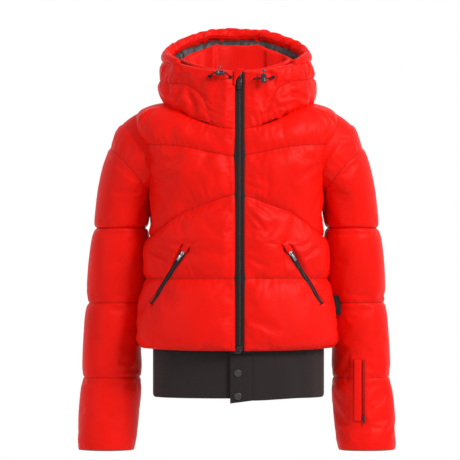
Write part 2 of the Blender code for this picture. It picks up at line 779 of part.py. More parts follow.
# ---- pockets ------------------------------------------------------------------------------
def hand_pocket(side, word):
    top, bottom, matrix = pocket_frame(side)
    length = (bottom - top).length
    tape_size = (POCKET_SLIT - 0.001, POCKET_TAPE_THICK, length)
    tape_place = in_frame(matrix, 0.0, POCKET_TAPE_OUT - POCKET_TAPE_THICK / 2)
    add_object(f"pocket_zip_{word}", block(tape_size, tape_place), BLACK_TRIM, smooth=False)
    slider_frame = in_frame(matrix, 0.0, 0.0, -length / 2 + POCKET_SLIDER[2])
    slider_and_pull(f"pocket_{word}", slider_frame, POCKET_TAPE_OUT, POCKET_SLIDER, POCKET_PULL, 1.0)
    pocket_bag(side, word)


def pocket_bag(side, word):
    """An empty bag lies flat between the panel and the lining."""
    centre_x = (POCKET_TOP[0] + POCKET_BOTTOM[0]) / 2 - BAG_SHIFT
    centre_z = (POCKET_TOP[1] + POCKET_BOTTOM[1]) / 2 - BAG_SHIFT
    angle, share, _ = on_torso_front(centre_x, centre_z)

    def point(u, v):
        turn = side * angle + (u - 0.5) * BAG_TURN
        return torso_point(turn, share + (v - 0.5) * BAG_SHARE)

    bm = surface_grid(point, 6, 5)
    shift_along_normals(bm, -(SHELL + (LINING_DEPTH - SHELL - BAG_THICK) / 2))
    obj = add_object(f"pocket_bag_{word}", bm, BLACK_TRIM)
    thicken(obj, BAG_THICK)


def pass_pocket():
    """Vertical welt on the wearer's left forearm with a short zip beside it."""
    middle_z = WELT_TOP_Z - WELT_SIZE[2] / 2
    heights = [WELT_TOP_Z - k * WELT_SIZE[2] / 4 for k in range(5)]
    front_y = min(sleeve_point(1, math.pi, sleeve_station(height))[1] for height in heights)
    place = Matrix.Translation((WELT_X, front_y - WELT_SIZE[1] / 2 - TOUCH_GAP, middle_z))
    add_object("pass_welt", block(WELT_SIZE, place, 0.0008), RED, smooth=False)
    tape_x = WELT_X + WELT_SIZE[0] / 2 + PASS_TAPE_SIZE[0] / 2 + 0.001
    tape_y = front_y - PASS_TAPE_SIZE[1] / 2 - TOUCH_GAP
    tape_place = Matrix.Translation((tape_x, tape_y, middle_z))
    add_object("pass_zip_tape", block(PASS_TAPE_SIZE, tape_place), BLACK_TRIM, smooth=False)
    slider_z = WELT_TOP_Z - WELT_SIZE[2] + PASS_SLIDER_RISE
    frame = axes_matrix((tape_x, front_y, slider_z), (0, -1, 0), (0, 0, 1))
    tape_face = PASS_TAPE_SIZE[1] + TOUCH_GAP
    slider_and_pull("pass", frame, tape_face, PASS_SLIDER, PASS_PULL, -1.0)


# ---- sleeves ------------------------------------------------------------------------------
def sleeve_stretch(name, side, low, high, columns, rows, wall, pivot=(0, 0, 0)):
    """A tube of sleeve between two station functions of the turn angle."""

    def point(u, v):
        turn = -side * 2 * math.pi * u
        t = low(turn) + (high(turn) - low(turn)) * (1 - v)
        return sleeve_point(side, turn, t)

    obj = add_object(name, surface_grid(point, columns, rows, closed=True), RED, pivot=pivot)
    thicken(obj, wall)
    return obj


def sleeve(side, word):
    vee = math.tan(math.radians(ELBOW_RANGE / 2 + 1.0))
    half_depth = SLEEVE[ELBOW_ROW][4]
    half_width = (SLEEVE[ELBOW_ROW][2] - SLEEVE[ELBOW_ROW][0]) / 2
    clear = ELBOW_CLEARANCE

    def rise(turn):
        """Height of the wedge that folds, from how far the turn lies ahead of the elbow's axis."""
        ahead = half_width * math.sin(turn) * math.sin(ELBOW_TILT)
        ahead -= half_depth * math.cos(turn) * math.cos(ELBOW_TILT)
        return vee * max(0.0, ahead)

    def upper_end(turn):
        return sleeve_station(ELBOW_Z + clear + rise(turn))

    def fore_start(turn):
        return sleeve_station(ELBOW_Z - clear - rise(turn))

    shoulder = (side * SHOULDER_PIVOT[0], SHOULDER_PIVOT[1], SHOULDER_PIVOT[2])
    elbow = (side * (SLEEVE[ELBOW_ROW][0] + SLEEVE[ELBOW_ROW][2]) / 2, ELBOW_Y, ELBOW_Z)
    seam = SEAM_STATIONS
    sleeve_stretch(
        f"sleeve_cap_{word}", side, lambda turn: CAP_START, lambda turn: CAP_END - seam, 20, 5, SHELL
    )
    sleeve_stretch(
        f"sleeve_upper_{word}", side, lambda turn: CAP_END + seam, upper_end, 20, 4, SHELL, shoulder
    )
    sleeve_stretch(
        f"elbow_gusset_{word}",
        side,
        lambda turn: upper_end(turn) + seam,
        lambda turn: fore_start(turn) - seam,
        20,
        1,
        GUSSET_WALL,
        elbow,
    )
    cuff = len(SLEEVE) - 1.0
    sleeve_stretch(f"sleeve_fore_{word}", side, fore_start, lambda turn: cuff, 20, 5, FORE_WALL, elbow)


# ---- small fittings -----------------------------------------------------------------------
def side_label():
    """A folded ribbon caught in the wearer's left side seam."""
    x, y, z = torso_point(math.pi / 2, LABEL_SHARE)
    matrix = Matrix.Translation((x + LABEL_SIZE[0] / 2 + TOUCH_GAP, y, z))
    add_object("side_label", block(LABEL_SIZE, matrix), BLACK_TRIM, smooth=False)


def cord_lock(word, centre, upright):
    """A small barrel with a cord bore along X and a spring button on top."""
    radius = LOCK_RADIUS
    length = LOCK_LENGTH_UPRIGHT if upright else LOCK_LENGTH_LYING
    cx, cy, cz = centre
    bm = bmesh.new()
    bmesh.ops.create_cone(bm, cap_ends=True, segments=16, radius1=radius, radius2=radius, depth=length)
    turn = Matrix.Identity(4) if upright else Matrix.Rotation(math.pi / 2, 4, "Y")
    bmesh.ops.transform(bm, matrix=Matrix.Translation(centre) @ turn, verts=bm.verts)
    barrel = add_object(f"cord_lock_{word}", bm, BLACK_TRIM, 0.4, pivot=centre)
    bore = bmesh.new()
    bore_radius = LOCK_CORD_RADIUS + LOCK_BORE_GAP
    bmesh.ops.create_cone(
        bore, cap_ends=True, segments=12, radius1=bore_radius, radius2=bore_radius, depth=0.04
    )
    bmesh.ops.transform(
        bore, matrix=Matrix.Translation(centre) @ Matrix.Rotation(math.pi / 2, 4, "Y"), verts=bore.verts
    )
    cut(barrel, add_cutter(f"lock_bore_{word}", bore))
    top = cz + (length / 2 if upright else radius)
    button_height = BUTTON_TRAVEL + BUTTON_PROUD
    button = bmesh.new()
    bmesh.ops.create_cone(
        button, cap_ends=True, segments=12, radius1=0.0032, radius2=0.0029, depth=button_height
    )
    button_centre = (cx, cy, top + TOUCH_GAP + BUTTON_TRAVEL + button_height / 2)
    bmesh.ops.translate(button, vec=button_centre, verts=button.verts)
    add_object(f"cord_button_{word}", button, BLACK_TRIM, 0.4, pivot=button_centre)


def drawcord(word, left, centre, right):
    """A short cord from one eyelet, straight through the lock, to the other eyelet."""
    run = LOCK_RUN
    cx, cy, cz = centre
    points = [
        left,
        (left[0] + 0.001, left[1] - 0.004, left[2]),
        ((left[0] + cx - run) / 2, cy, (left[2] + cz) / 2),
        (cx - run, cy, cz),
        (cx + run, cy, cz),
        ((right[0] + cx + run) / 2 + 0.001, cy, (right[2] + cz) / 2),
        (right[0] - 0.0005, right[1] - 0.004, right[2]),
        right,
    ]
    tube(f"drawcord_{word}", points, LOCK_CORD_RADIUS, BLACK_TRIM)


def collar_front_fittings():
    front = zip_y(COLLAR_FRONT_Z) - 0.0015
    lock_y = front - LOCK_FACE_OUT
    right_centre = (-0.032, lock_y, 0.055)
    left_centre = (0.052, lock_y, 0.045)
    cord_lock("right", right_centre, upright=False)
    cord_lock("left", left_centre, upright=True)
    drawcord("right", (-0.052, front, 0.049), right_centre, (-0.012, front, 0.049))
    drawcord("left", (0.032, front, 0.043), left_centre, (0.072, front + 0.004, 0.046))


def build():
    armholes = [armhole_cutter(side) for side in (-1, 1)]
    front_panel("front_panel_right", -1, armholes[0], pocket_cutter(-1))
    front_panel("front_panel_left", 1, armholes[1], pocket_cutter(1))
    back_panel(armholes)
    body_lining(armholes)
    hood_front("hood_front_right", -1)
    hood_front("hood_front_left", 1)
    hood_pieces()
    hood_brim()
    inner_collar()
    hanger_loop()
    waistband()
    snaps()
    main_zip()
    for side, word in ((-1, "right"), (1, "left")):
        hand_pocket(side, word)
        sleeve(side, word)
    pass_pocket()
    side_label()
    collar_front_fittings()


build()
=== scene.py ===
"""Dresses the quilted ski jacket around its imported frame.

Metres, +Z up, front towards -Y, wearer's left towards +X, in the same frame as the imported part.
"""

import logging
import math
from contextlib import contextmanager
from dataclasses import dataclass
from enum import Enum
from functools import lru_cache
from typing import Callable, Iterator, Optional, Sequence, Union

import bmesh
import bpy
import numpy as np
from mathutils import Matrix, Vector


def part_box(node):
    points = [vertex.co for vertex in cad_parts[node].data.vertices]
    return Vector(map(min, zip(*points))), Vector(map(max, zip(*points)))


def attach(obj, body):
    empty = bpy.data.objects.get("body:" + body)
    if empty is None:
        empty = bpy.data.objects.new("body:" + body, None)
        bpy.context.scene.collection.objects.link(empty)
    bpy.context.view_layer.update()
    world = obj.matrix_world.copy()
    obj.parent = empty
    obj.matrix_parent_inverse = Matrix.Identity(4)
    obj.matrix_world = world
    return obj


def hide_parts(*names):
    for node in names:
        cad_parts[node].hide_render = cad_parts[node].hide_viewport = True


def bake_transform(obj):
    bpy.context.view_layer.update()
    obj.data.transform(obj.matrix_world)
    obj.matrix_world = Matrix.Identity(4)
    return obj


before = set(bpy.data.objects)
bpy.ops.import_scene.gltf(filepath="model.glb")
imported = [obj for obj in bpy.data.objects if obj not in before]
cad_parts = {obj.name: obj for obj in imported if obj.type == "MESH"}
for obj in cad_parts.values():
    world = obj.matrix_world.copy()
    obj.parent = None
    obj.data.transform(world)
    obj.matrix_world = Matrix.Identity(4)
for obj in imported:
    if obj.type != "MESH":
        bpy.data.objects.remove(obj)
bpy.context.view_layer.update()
LOG = logging.getLogger("ski_jacket")
WEAVE_UV = "weave"  # metres along and up the cloth
SEAM_UV = "seam"  # metres to the nearest seam, and along it
FAR = 9.0  # a gap that says no seam is near
TAU = 2 * math.pi
Array = np.ndarray


class Side(Enum):
    """The wearer's two sides and the sign of X on each."""

    RIGHT = -1
    LEFT = 1

    @property
    def word(self) -> str:
        """The side's name as piece and body names have it."""
        return self.name.lower()


# ---- shader maths -------------------------------------------------------------------------
class Value:
    """A node output that can be used in arithmetic."""

    def __init__(self, maker: "NodeMaker", socket: bpy.types.NodeSocket) -> None:
        """Keeps the socket and the maker of its tree."""
        self.maker, self.socket = maker, socket

    def _with(self, operation: str, first: object, second: object) -> "Value":
        """Adds one Math node on Values or numbers."""
        return self.maker.add("ShaderNodeMath", {"operation": operation}, {0: first, 1: second})

    def __add__(self, other: object) -> "Value":
        """Sum."""
        return self._with("ADD", self, other)

    def __radd__(self, other: object) -> "Value":
        """Sum, reflected."""
        return self._with("ADD", other, self)

    def __sub__(self, other: object) -> "Value":
        """Difference."""
        return self._with("SUBTRACT", self, other)

    def __rsub__(self, other: object) -> "Value":
        """Difference, reflected."""
        return self._with("SUBTRACT", other, self)

    def __mul__(self, other: object) -> "Value":
        """Product."""
        return self._with("MULTIPLY", self, other)

    def __rmul__(self, other: object) -> "Value":
        """Product, reflected."""
        return self._with("MULTIPLY", other, self)

    def __lt__(self, other: object) -> "Value":
        """1 where this is less than the other."""
        return self._with("LESS_THAN", self, other)

    def __gt__(self, other: object) -> "Value":
        """1 where this is more than the other."""
        return self._with("GREATER_THAN", self, other)

    def size(self) -> "Value":
        """This value without its sign."""
        return self._with("ABSOLUTE", self, 0.0)

    def wave(self, pitch: float) -> "Value":
        """A sine of this value, from 0 to 1, with the given wave length."""
        return self._with("SINE", self * (TAU / pitch), 0.0) * 0.5 + 0.5

    def between(self, low: float, high: float) -> "Value":
        """A smooth rise from 0 at low to 1 at high."""
        settings = {"interpolation_type": "SMOOTHSTEP"}
        return self.maker.add("ShaderNodeMapRange", settings, {0: self, 1: low, 2: high, 3: 0.0, 4: 1.0})


class NodeMaker:
    """Adds nodes to the tree of one material or surround."""

    def __init__(self, owner: Union[str, bpy.types.World]) -> None:
        """Starts an empty tree.

        Args:
            owner: a new material's name, or the surround.
        """
        self.owner = bpy.data.materials.new(owner) if isinstance(owner, str) else owner
        self.owner.use_nodes = True
        self.tree = self.owner.node_tree
        self.tree.nodes.clear()

    def add(self, kind: str, settings: dict, inputs: dict,
            output: Union[int, str, None] = 0) -> Optional[Value]:
        """Adds any node.

        Args:
            kind: the node's type.
            settings: its properties, set first.
            inputs: values or links for its sockets, by name or number.
            output: which output to return, or None for an end node.

        Returns:
            The chosen output.
        """
        node = self.tree.nodes.new(kind)
        for key, setting in settings.items():
            setattr(node, key, setting)
        for key, given in inputs.items():
            socket = node.inputs[key]
            if isinstance(given, Value):
                self.tree.links.new(given.socket, socket)
            else:
                socket.default_value = given
        return None if output is None else Value(self, node.outputs[output])

    def part(self, vector: Value, axis: int) -> Value:
        """One number of a vector."""
        return self.add("ShaderNodeSeparateXYZ", {}, {0: vector}, axis)

    def uv(self, layer: str) -> Value:
        """The named UV map."""
        return self.add("ShaderNodeUVMap", {"uv_map": layer}, {})

    def place(self) -> Value:
        """Object coordinates, in metres."""
        return self.add("ShaderNodeTexCoord", {}, {}, "Object")

    def noise(self, vector: Value, scale: float, detail: float = 3.0, rough: float = 0.55) -> Value:
        """Cloudy noise from 0 to 1.

        Args:
            vector: where to read it.
            scale: repeats per metre.
            detail: octaves.
            rough: weight of the finer octaves.

        Returns:
            The noise.
        """
        inputs = {"Vector": vector, "Scale": scale, "Detail": detail, "Roughness": rough}
        return self.add("ShaderNodeTexNoise", {}, inputs, "Fac")

    def mix(self, share: Value, first: object, second: object) -> Value:
        """Mixes two colours or Values, with the given share of the second."""
        return self.add("ShaderNodeMix", {"data_type": "RGBA"}, {0: share, 6: first, 7: second}, 2)

    def bump(self, height: Value, distance: float, strength: float) -> Value:
        """A normal from a height, of which 1 stands for the distance."""
        return self.add("ShaderNodeBump", {}, {"Height": height, "Distance": distance, "Strength": strength})

    def surface(self, colour: Value, roughness: Value, normal: Optional[Value] = None,
                **constants: object) -> bpy.types.Material:
        """Ends the tree in a Principled shader.

        Args:
            colour: Base Color.
            roughness: Roughness.
            normal: Normal, if it has one.
            constants: other sockets, with underscores for spaces; they are the same all over.

        Returns:
            The material.
        """
        inputs = {key.replace("_", " "): given for key, given in constants.items()}
        inputs.update({"Base Color": colour, "Roughness": roughness})
        if normal is not None:
            inputs["Normal"] = normal
        shader = self.add("ShaderNodeBsdfPrincipled", {}, inputs)
        self.add("ShaderNodeOutputMaterial", {}, {"Surface": shader}, None)
        return self.owner


def rgba(colour: Sequence[float], gain: float = 1.0) -> tuple:
    """A colour with alpha 1, made lighter or darker by gain."""
    return (*(min(1.0, part * gain) for part in colour), 1.0)


# ---- finishes -----------------------------------------------------------------------------
@dataclass(frozen=True)
class ShellNylon:
    """Matt woven nylon over padding, with stitched seams and painted shade in their grooves."""

    name: str = "shell_nylon"
    colour: tuple = (0.83, 0.0052, 0.0012)
    roughness: float = 0.50
    seamed: bool = True

    def make(self) -> bpy.types.Material:
        """Builds the material."""
        nodes = NodeMaker(self.name)
        cloth = nodes.uv(WEAVE_UV)
        along, up = nodes.part(cloth, 0), nodes.part(cloth, 1)
        tone = nodes.noise(cloth, 9.0, 2.0)
        colour = nodes.mix(tone.between(0.25, 0.75), rgba(self.colour, 0.93), rgba(self.colour, 1.06))
        weave = (along.wave(0.0011) * up.wave(0.0011)) * 0.5 + nodes.noise(cloth, 900.0, 2.0) * 0.5
        crinkle = nodes.noise(cloth, 85.0, 4.0, 0.6)
        height = weave * 0.10 + crinkle * 0.9
        rough = nodes.noise(cloth, 40.0, 3.0) * 0.12 + (self.roughness - 0.06)
        if self.seamed:
            seam = nodes.uv(SEAM_UV)
            gap, run = nodes.part(seam, 0).size(), nodes.part(seam, 1)
            groove_and_painted_shade = 1.0 - gap.between(0.0002, 0.0016)
            stitch = (gap < 0.0024) * (gap > 0.0017) * (run.wave(0.0032) > 0.35)
            # painted shade: the colour darkens in the seam groove, where the recess falls into shade
            colour = nodes.mix(groove_and_painted_shade * 0.40, colour, rgba(self.colour, 0.32))
            colour = nodes.mix(stitch * 0.22, colour, rgba(self.colour, 0.6))
            height = height + (1.0 - groove_and_painted_shade) * 1.1 + stitch * 0.25
        normal = nodes.bump(height, 0.0007, 0.55)
        return nodes.surface(colour, rough, normal, Specular_IOR_Level=0.12, Sheen_Weight=0.01,
                             Sheen_Roughness=0.4, Sheen_Tint=(1.0, 0.45, 0.35, 1.0))


@dataclass(frozen=True)
class LiningTaffeta:
    """Thin dark lining with a soft gloss, and painted light: lighter on its fold crests, darker in their hollows."""

    name: str = "lining_taffeta"
    colour: tuple = (0.030, 0.019, 0.019)

    def make(self) -> bpy.types.Material:
        """Builds the material."""
        nodes = NodeMaker(self.name)
        place = nodes.place()
        fold = nodes.noise(place, 60.0, 4.0, 0.6)
        # painted light: the fold noise that raises the bump also lightens the colour on the crests and darkens it in
        # the hollows
        colour = nodes.mix(fold.between(0.35, 0.8), rgba(self.colour, 0.75), rgba(self.colour, 2.1))
        thread = nodes.part(place, 2).wave(0.0012) * nodes.part(place, 0).wave(0.0012)
        normal = nodes.bump(fold * 0.9 + thread * 0.1, 0.0016, 0.8)
        return nodes.surface(colour, fold * 0.15 + 0.38, normal, Sheen_Weight=0.15, Sheen_Roughness=0.4)


@dataclass(frozen=True)
class BandKnit:
    """Fine, dense stretch knit with a double row of stitches along its edges."""

    name: str = "band_knit"
    colour: tuple = (0.0185, 0.0120, 0.0115)

    def make(self) -> bpy.types.Material:
        """Builds the material."""
        nodes = NodeMaker(self.name)
        cloth, seam = nodes.uv(WEAVE_UV), nodes.uv(SEAM_UV)
        along, up = nodes.part(cloth, 0), nodes.part(cloth, 1)
        gap, run = nodes.part(seam, 0), nodes.part(seam, 1)
        rib = along.wave(0.0014) * 0.6 + (up + along * 0.5).wave(0.0011) * 0.4
        pile = nodes.noise(cloth, 500.0, 3.0)
        cloud = nodes.noise(cloth, 14.0, 2.0)
        stitch = (gap < 0.0052) * (gap > 0.0044) * (run.wave(0.0030) > 0.4)
        colour = nodes.mix(pile * 0.5 + cloud * 0.5, rgba(self.colour, 0.80), rgba(self.colour, 1.30))
        colour = nodes.mix(stitch * 0.35, colour, rgba(self.colour, 0.5))
        normal = nodes.bump(rib * 0.5 + pile * 0.5 - stitch * 0.5, 0.0004, 0.6)
        return nodes.surface(colour, pile * 0.12 + 0.72, normal,
                             Specular_IOR_Level=0.20, Sheen_Weight=0.12, Sheen_Roughness=0.5)


@dataclass(frozen=True)
class TapeWeave:
    """Narrow herringbone tape for zips, cords, loops and labels."""

    name: str = "tape_weave"
    colour: tuple = (0.020, 0.0105, 0.0105)
    pitch: float = 0.0012

    def make(self) -> bpy.types.Material:
        """Builds the material."""
        nodes = NodeMaker(self.name)
        place = nodes.place()
        x, z = nodes.part(place, 0), nodes.part(place, 2)
        twill = (z + x * 0.8).wave(self.pitch) * 0.6 + (z - x * 0.8).wave(self.pitch) * 0.4
        fuzz = nodes.noise(place, 700.0, 2.0)
        colour = nodes.mix(twill * 0.6 + fuzz * 0.4, rgba(self.colour, 0.6), rgba(self.colour, 1.6))
        normal = nodes.bump(twill * 0.7 + fuzz * 0.3, 0.0003, 0.7)
        return nodes.surface(colour, fuzz * 0.15 + 0.6, normal, Specular_IOR_Level=0.2)


@dataclass(frozen=True)
class CastMetal:
    """Cast and plated metal with rubbed high spots."""

    name: str = "cast_metal"
    colour: tuple = (0.42, 0.42, 0.44)
    roughness: float = 0.30

    def make(self) -> bpy.types.Material:
        """Builds the material."""
        nodes = NodeMaker(self.name)
        place = nodes.place()
        smear = nodes.noise(place, 260.0, 4.0, 0.65)
        grain = nodes.noise(place, 1800.0, 2.0)
        colour = nodes.mix(smear.between(0.35, 0.75), rgba(self.colour, 0.75), rgba(self.colour, 1.25))
        normal = nodes.bump(grain * 0.6 + smear * 0.4, 0.0001, 0.6)
        return nodes.surface(colour, smear * 0.2 + (self.roughness - 0.1), normal, Metallic=1.0)


@dataclass(frozen=True)
class MouldedPlastic:
    """Moulded plastic or enamel with a fine grain and scuffs."""

    name: str = "moulded_plastic"
    colour: tuple = (0.022, 0.017, 0.019)
    roughness: float = 0.38
    coat: float = 0.0

    def make(self) -> bpy.types.Material:
        """Builds the material."""
        nodes = NodeMaker(self.name)
        place = nodes.place()
        scuff = nodes.noise(place, 320.0, 4.0, 0.7)
        grain = nodes.noise(place, 2200.0, 2.0)
        colour = nodes.mix(scuff.between(0.45, 0.8), rgba(self.colour, 0.85), rgba(self.colour, 1.7))
        normal = nodes.bump(grain * 0.7 + scuff * 0.3, 0.00012, 0.6)
        return nodes.surface(colour, scuff * 0.2 + (self.roughness - 0.1), normal,
                             Coat_Weight=self.coat, Coat_Roughness=0.2)


@dataclass(frozen=True)
class StudioPaint:
    """Plain pale floor."""

    name: str = "studio_floor"
    colour: tuple = (0.86, 0.86, 0.86)

    def make(self) -> bpy.types.Material:
        """Builds the material."""
        nodes = NodeMaker(self.name)
        cloud = nodes.noise(nodes.place(), 3.0, 3.0)
        colour = nodes.mix(cloud, rgba(self.colour, 0.98), rgba(self.colour, 1.02))
        return nodes.surface(colour, cloud * 0.1 + 0.7)


@lru_cache(maxsize=None)
def dressed(finish: object) -> bpy.types.Material:
    """The material of a finish, made once."""
    return finish.make()


RED = ShellNylon()
RED_PLAIN = ShellNylon(name="shell_nylon_plain", seamed=False)
LINING = LiningTaffeta()
KNIT = BandKnit()
TAPE = TapeWeave()
CORD = TapeWeave(name="cord_braid", pitch=0.0009)
SILVER = CastMetal(name="pocket_pull_metal", colour=(0.50, 0.50, 0.52), roughness=0.28)
GUNMETAL = CastMetal(name="gunmetal", colour=(0.085, 0.066, 0.072), roughness=0.36)
STUD = CastMetal(name="stud_metal", colour=(0.35, 0.34, 0.34), roughness=0.34)
TOOTH = MouldedPlastic(name="tooth_plastic", colour=(0.030, 0.020, 0.021), roughness=0.36)
LOCK = MouldedPlastic(name="lock_plastic", colour=(0.030, 0.024, 0.026), roughness=0.32, coat=0.2)
ENAMEL = MouldedPlastic(name="snap_enamel", colour=(0.036, 0.034, 0.034), roughness=0.34, coat=0.3)
DEEP_TAPE = TapeWeave(name="tape_deep_red", colour=(0.33, 0.0030, 0.0012))


# ---- number helpers -----------------------------------------------------------------------
def track(values: Sequence[float], t: Array) -> Array:
    """Catmull-Rom interpolation of station values.

    Args:
        values: one number per station.
        t: stations, whole or between.

    Returns:
        The interpolated numbers.
    """
    v = np.asarray(values, float)
    last = len(v) - 1
    t = np.clip(np.asarray(t, float), 0.0, last)
    i = np.minimum(t.astype(int), last - 1)
    f = t - i
    longer = np.concatenate(([2 * v[0] - v[1]], v, [2 * v[-1] - v[-2]]))
    p0, p1, p2, p3 = (longer[i + k] for k in range(4))
    return 0.5 * (2 * p1 + (p2 - p0) * f + (2 * p0 - 5 * p1 + 4 * p2 - p3) * f**2
                  + (3 * p1 - p0 - 3 * p2 + p3) * f**3)


def rise(value: Array, low: float, high: float) -> Array:
    """A smooth step from 0 at low to 1 at high."""
    share = np.clip((value - low) / (high - low), 0.0, 1.0)
    return share * share * (3 - 2 * share)


def spow(value: Array, power: Array) -> Array:
    """A power that keeps the sign."""
    return np.sign(value) * np.abs(value) ** power


def places(*parts: Array) -> Array:
    """Points from x, y and z arrays that broadcast together."""
    return np.stack(np.broadcast_arrays(*parts), axis=-1)


def travelled(points: Array, axis: int = 1) -> Array:
    """Metres from the first row (axis 0) or column (axis 1) to each point.

    Args:
        points: rows of points.
        axis: which way to go.

    Returns:
        The distances.
    """
    steps = np.linalg.norm(np.diff(points, axis=axis), axis=-1)
    return np.concatenate((np.zeros_like(points[..., 0].take([0], axis)), np.cumsum(steps, axis=axis)), axis=axis)


def rounding(gap: Array, radius: float) -> Array:
    """How far a rounded edge falls back at a distance from it."""
    past = np.clip((radius - gap) / radius, 0.0, 1.0)
    return radius * (1 - np.sqrt(np.maximum(0.0, 1 - past**2)))


def spaced(counts: Sequence[int], power: float) -> tuple:
    """Spaces rows between seams, closer beside each seam.

    Args:
        counts: rows of each band.
        power: how much closer.

    Returns:
        The band of each row, and how far through its band each row is.
    """
    bands, through = [], []
    for band, count in enumerate(counts):
        for k in range(count + (band == len(counts) - 1)):
            left = 1 - 2 * (k / count)
            through.append(0.5 - 0.5 * math.copysign(abs(left) ** power, left))
            bands.append(band)
    return np.array(bands), np.array(through)


def distance_to(points: Array, line: Array) -> tuple:
    """Distance from points to a line of points.

    Args:
        points: any array of places.
        line: places along the line.

    Returns:
        Distances, and how far along the line each nearest place is.
    """
    flat = points.reshape(-1, 3)
    start, step = line[:-1], np.diff(line, axis=0)
    length = np.linalg.norm(step, axis=1)
    run = np.concatenate(([0.0], np.cumsum(length)))
    best = np.full(len(flat), FAR)
    where = np.zeros(len(flat))
    for index in range(len(step)):
        share = np.clip((flat - start[index]) @ step[index] / length[index] ** 2, 0.0, 1.0)
        gap = np.linalg.norm(flat - (start[index] + share[:, None] * step[index]), axis=1)
        nearer = gap < best
        best[nearer] = gap[nearer]
        where[nearer] = run[index] + share[nearer] * length[index]
    return best.reshape(points.shape[:-1]), where.reshape(points.shape[:-1])


@dataclass(frozen=True)
class Folds:
    """Drag lines pulled into the front: two ends in x and z, depth and half width of each."""

    lines: tuple

    def at(self, points: Array) -> Array:
        """How far the folds push each point of the cloth outwards, in metres.

        Args:
            points: places on the cloth.

        Returns:
            Metres outwards.
        """
        total = np.zeros(points.shape[:-1])
        ahead = points[..., 1] < 0.0
        for x1, z1, x2, z2, depth, width in self.lines:
            start, step = np.array([x1, z1]), np.array([x2 - x1, z2 - z1])
            away = points[..., ::2] - start
            share = np.clip(away @ step / (step @ step), 0.0, 1.0)
            gap = np.linalg.norm(away - share[..., None] * step, axis=-1)
            dip = np.exp(-(gap / width) ** 2) - 0.55 * np.exp(-((gap - 2.1 * width) / (1.1 * width)) ** 2)
            total = total - depth * dip * np.sin(np.clip(share, 0.04, 0.96) * math.pi) ** 0.5 * ahead
        return total


class Ripple:
    """An irregular seeded pattern of waves."""

    waves: int = 6
    spread: float = 0.45  # how much the wave lengths differ

    def __init__(self, seed: int, length: float, lean: float = 0.5) -> None:
        """Draws the waves.

        Args:
            seed: seed of the pattern.
            length: usual wave length.
            lean: how much the waves lean across.
        """
        drawn = np.random.default_rng(seed)
        self.number = TAU / length * drawn.uniform(1 - self.spread, 1 + self.spread, self.waves)
        self.phase = drawn.uniform(0, TAU, self.waves)
        self.lean = drawn.uniform(-lean, lean, self.waves)

    def at(self, along: Array, across: Array) -> Array:
        """The pattern's height, about -1 to 1.

        Args:
            along: metres along the waves' direction.
            across: metres across it.

        Returns:
            The heights.
        """
        total = sum(np.sin(n * (along + lean * across) + p)
                    for n, p, lean in zip(self.number, self.phase, self.lean))
        return total / math.sqrt(len(self.number))


# ---- cloth --------------------------------------------------------------------------------
@dataclass
class Cloth:
    """A rectangular piece of cloth as rows of points, before it is made a mesh."""

    points: Array
    gap: Union[Array, float] = FAR  # metres to the nearest seam
    run: Union[Array, float] = 0.0  # metres along it
    pins: Union[Array, float] = 0.0  # 1 where the cloth is sewn down
    closed: bool = False  # the last column lies on the first

    def __post_init__(self) -> None:
        """Spreads rows, columns and single numbers over all the points."""
        for name in ("gap", "run", "pins"):
            setattr(self, name, np.broadcast_to(getattr(self, name), self.points.shape[:2]) + 0.0)

    def normals(self, centre: Array) -> Array:
        """Unit normals that point away from the centre.

        Args:
            centre: a place inside, or one per row.

        Returns:
            One normal per point.
        """
        p = self.points
        if self.closed:
            ring = p[:, :-1]
            du = np.roll(ring, -1, axis=1) - np.roll(ring, 1, axis=1)
            du = np.concatenate((du, du[:, :1]), axis=1)
        else:
            du = np.gradient(p, axis=1)
        normal = np.cross(du, np.gradient(p, axis=0))
        normal = normal / np.maximum(np.linalg.norm(normal, axis=2, keepdims=True), 1e-12)
        return normal if np.sum(normal * (p - centre)) >= 0 else -normal

    def push(self, amount: Array, centre: Array) -> None:
        """Moves each point away from the centre by its amount."""
        self.points = self.points + self.normals(centre) * amount[..., None]

    def make(self, name: str, finish: object, centre: Array) -> bpy.types.Object:
        """Makes the mesh object with its two UV maps and its pins.

        Args:
            name: the piece's name.
            finish: its finish.
            centre: a place inside, from which faces look away.

        Returns:
            The object.
        """
        rows, columns = self.points.shape[:2]
        bm = bmesh.new()
        bmesh.ops.create_grid(bm, x_segments=columns - 1, y_segments=rows - 1, size=1.0)
        weave, seam = bm.loops.layers.uv.new(WEAVE_UV), bm.loops.layers.uv.new(SEAM_UV)
        deform = bm.verts.layers.deform.verify()
        across, upward = travelled(self.points[rows // 2], 0), travelled(self.points[:, columns // 2], 0)
        spot = {}
        for vert in bm.verts:
            i = round((vert.co.x + 1) / 2 * (columns - 1))
            j = round((vert.co.y + 1) / 2 * (rows - 1))
            spot[vert] = (i, j)
            vert[deform][0] = float(self.pins[j, i])
        for vert, (i, j) in spot.items():
            vert.co = self.points[j, i]
        for face in bm.faces:
            for loop in face.loops:
                i, j = spot[loop.vert]
                loop[weave].uv = (across[i], upward[j])
                loop[seam].uv = (self.gap[j, i], self.run[j, i])
        if self.closed:
            bmesh.ops.remove_doubles(bm, verts=bm.verts, dist=1e-6)
        bm.normal_update()
        facing = sum(f.normal.dot(f.calc_center_median() - Vector(centre)) for f in bm.faces)
        if facing < 0:
            bmesh.ops.reverse_faces(bm, faces=bm.faces)
        obj = to_object(name, bm, finish)
        obj.vertex_groups.new(name="pins")
        return obj


@contextmanager
def editing(obj: bpy.types.Object) -> Iterator[bmesh.types.BMesh]:
    """Opens a piece's mesh for a change and writes it back."""
    bm = bmesh.new()
    bm.from_mesh(obj.data)
    yield bm
    bm.to_mesh(obj.data)
    bm.free()


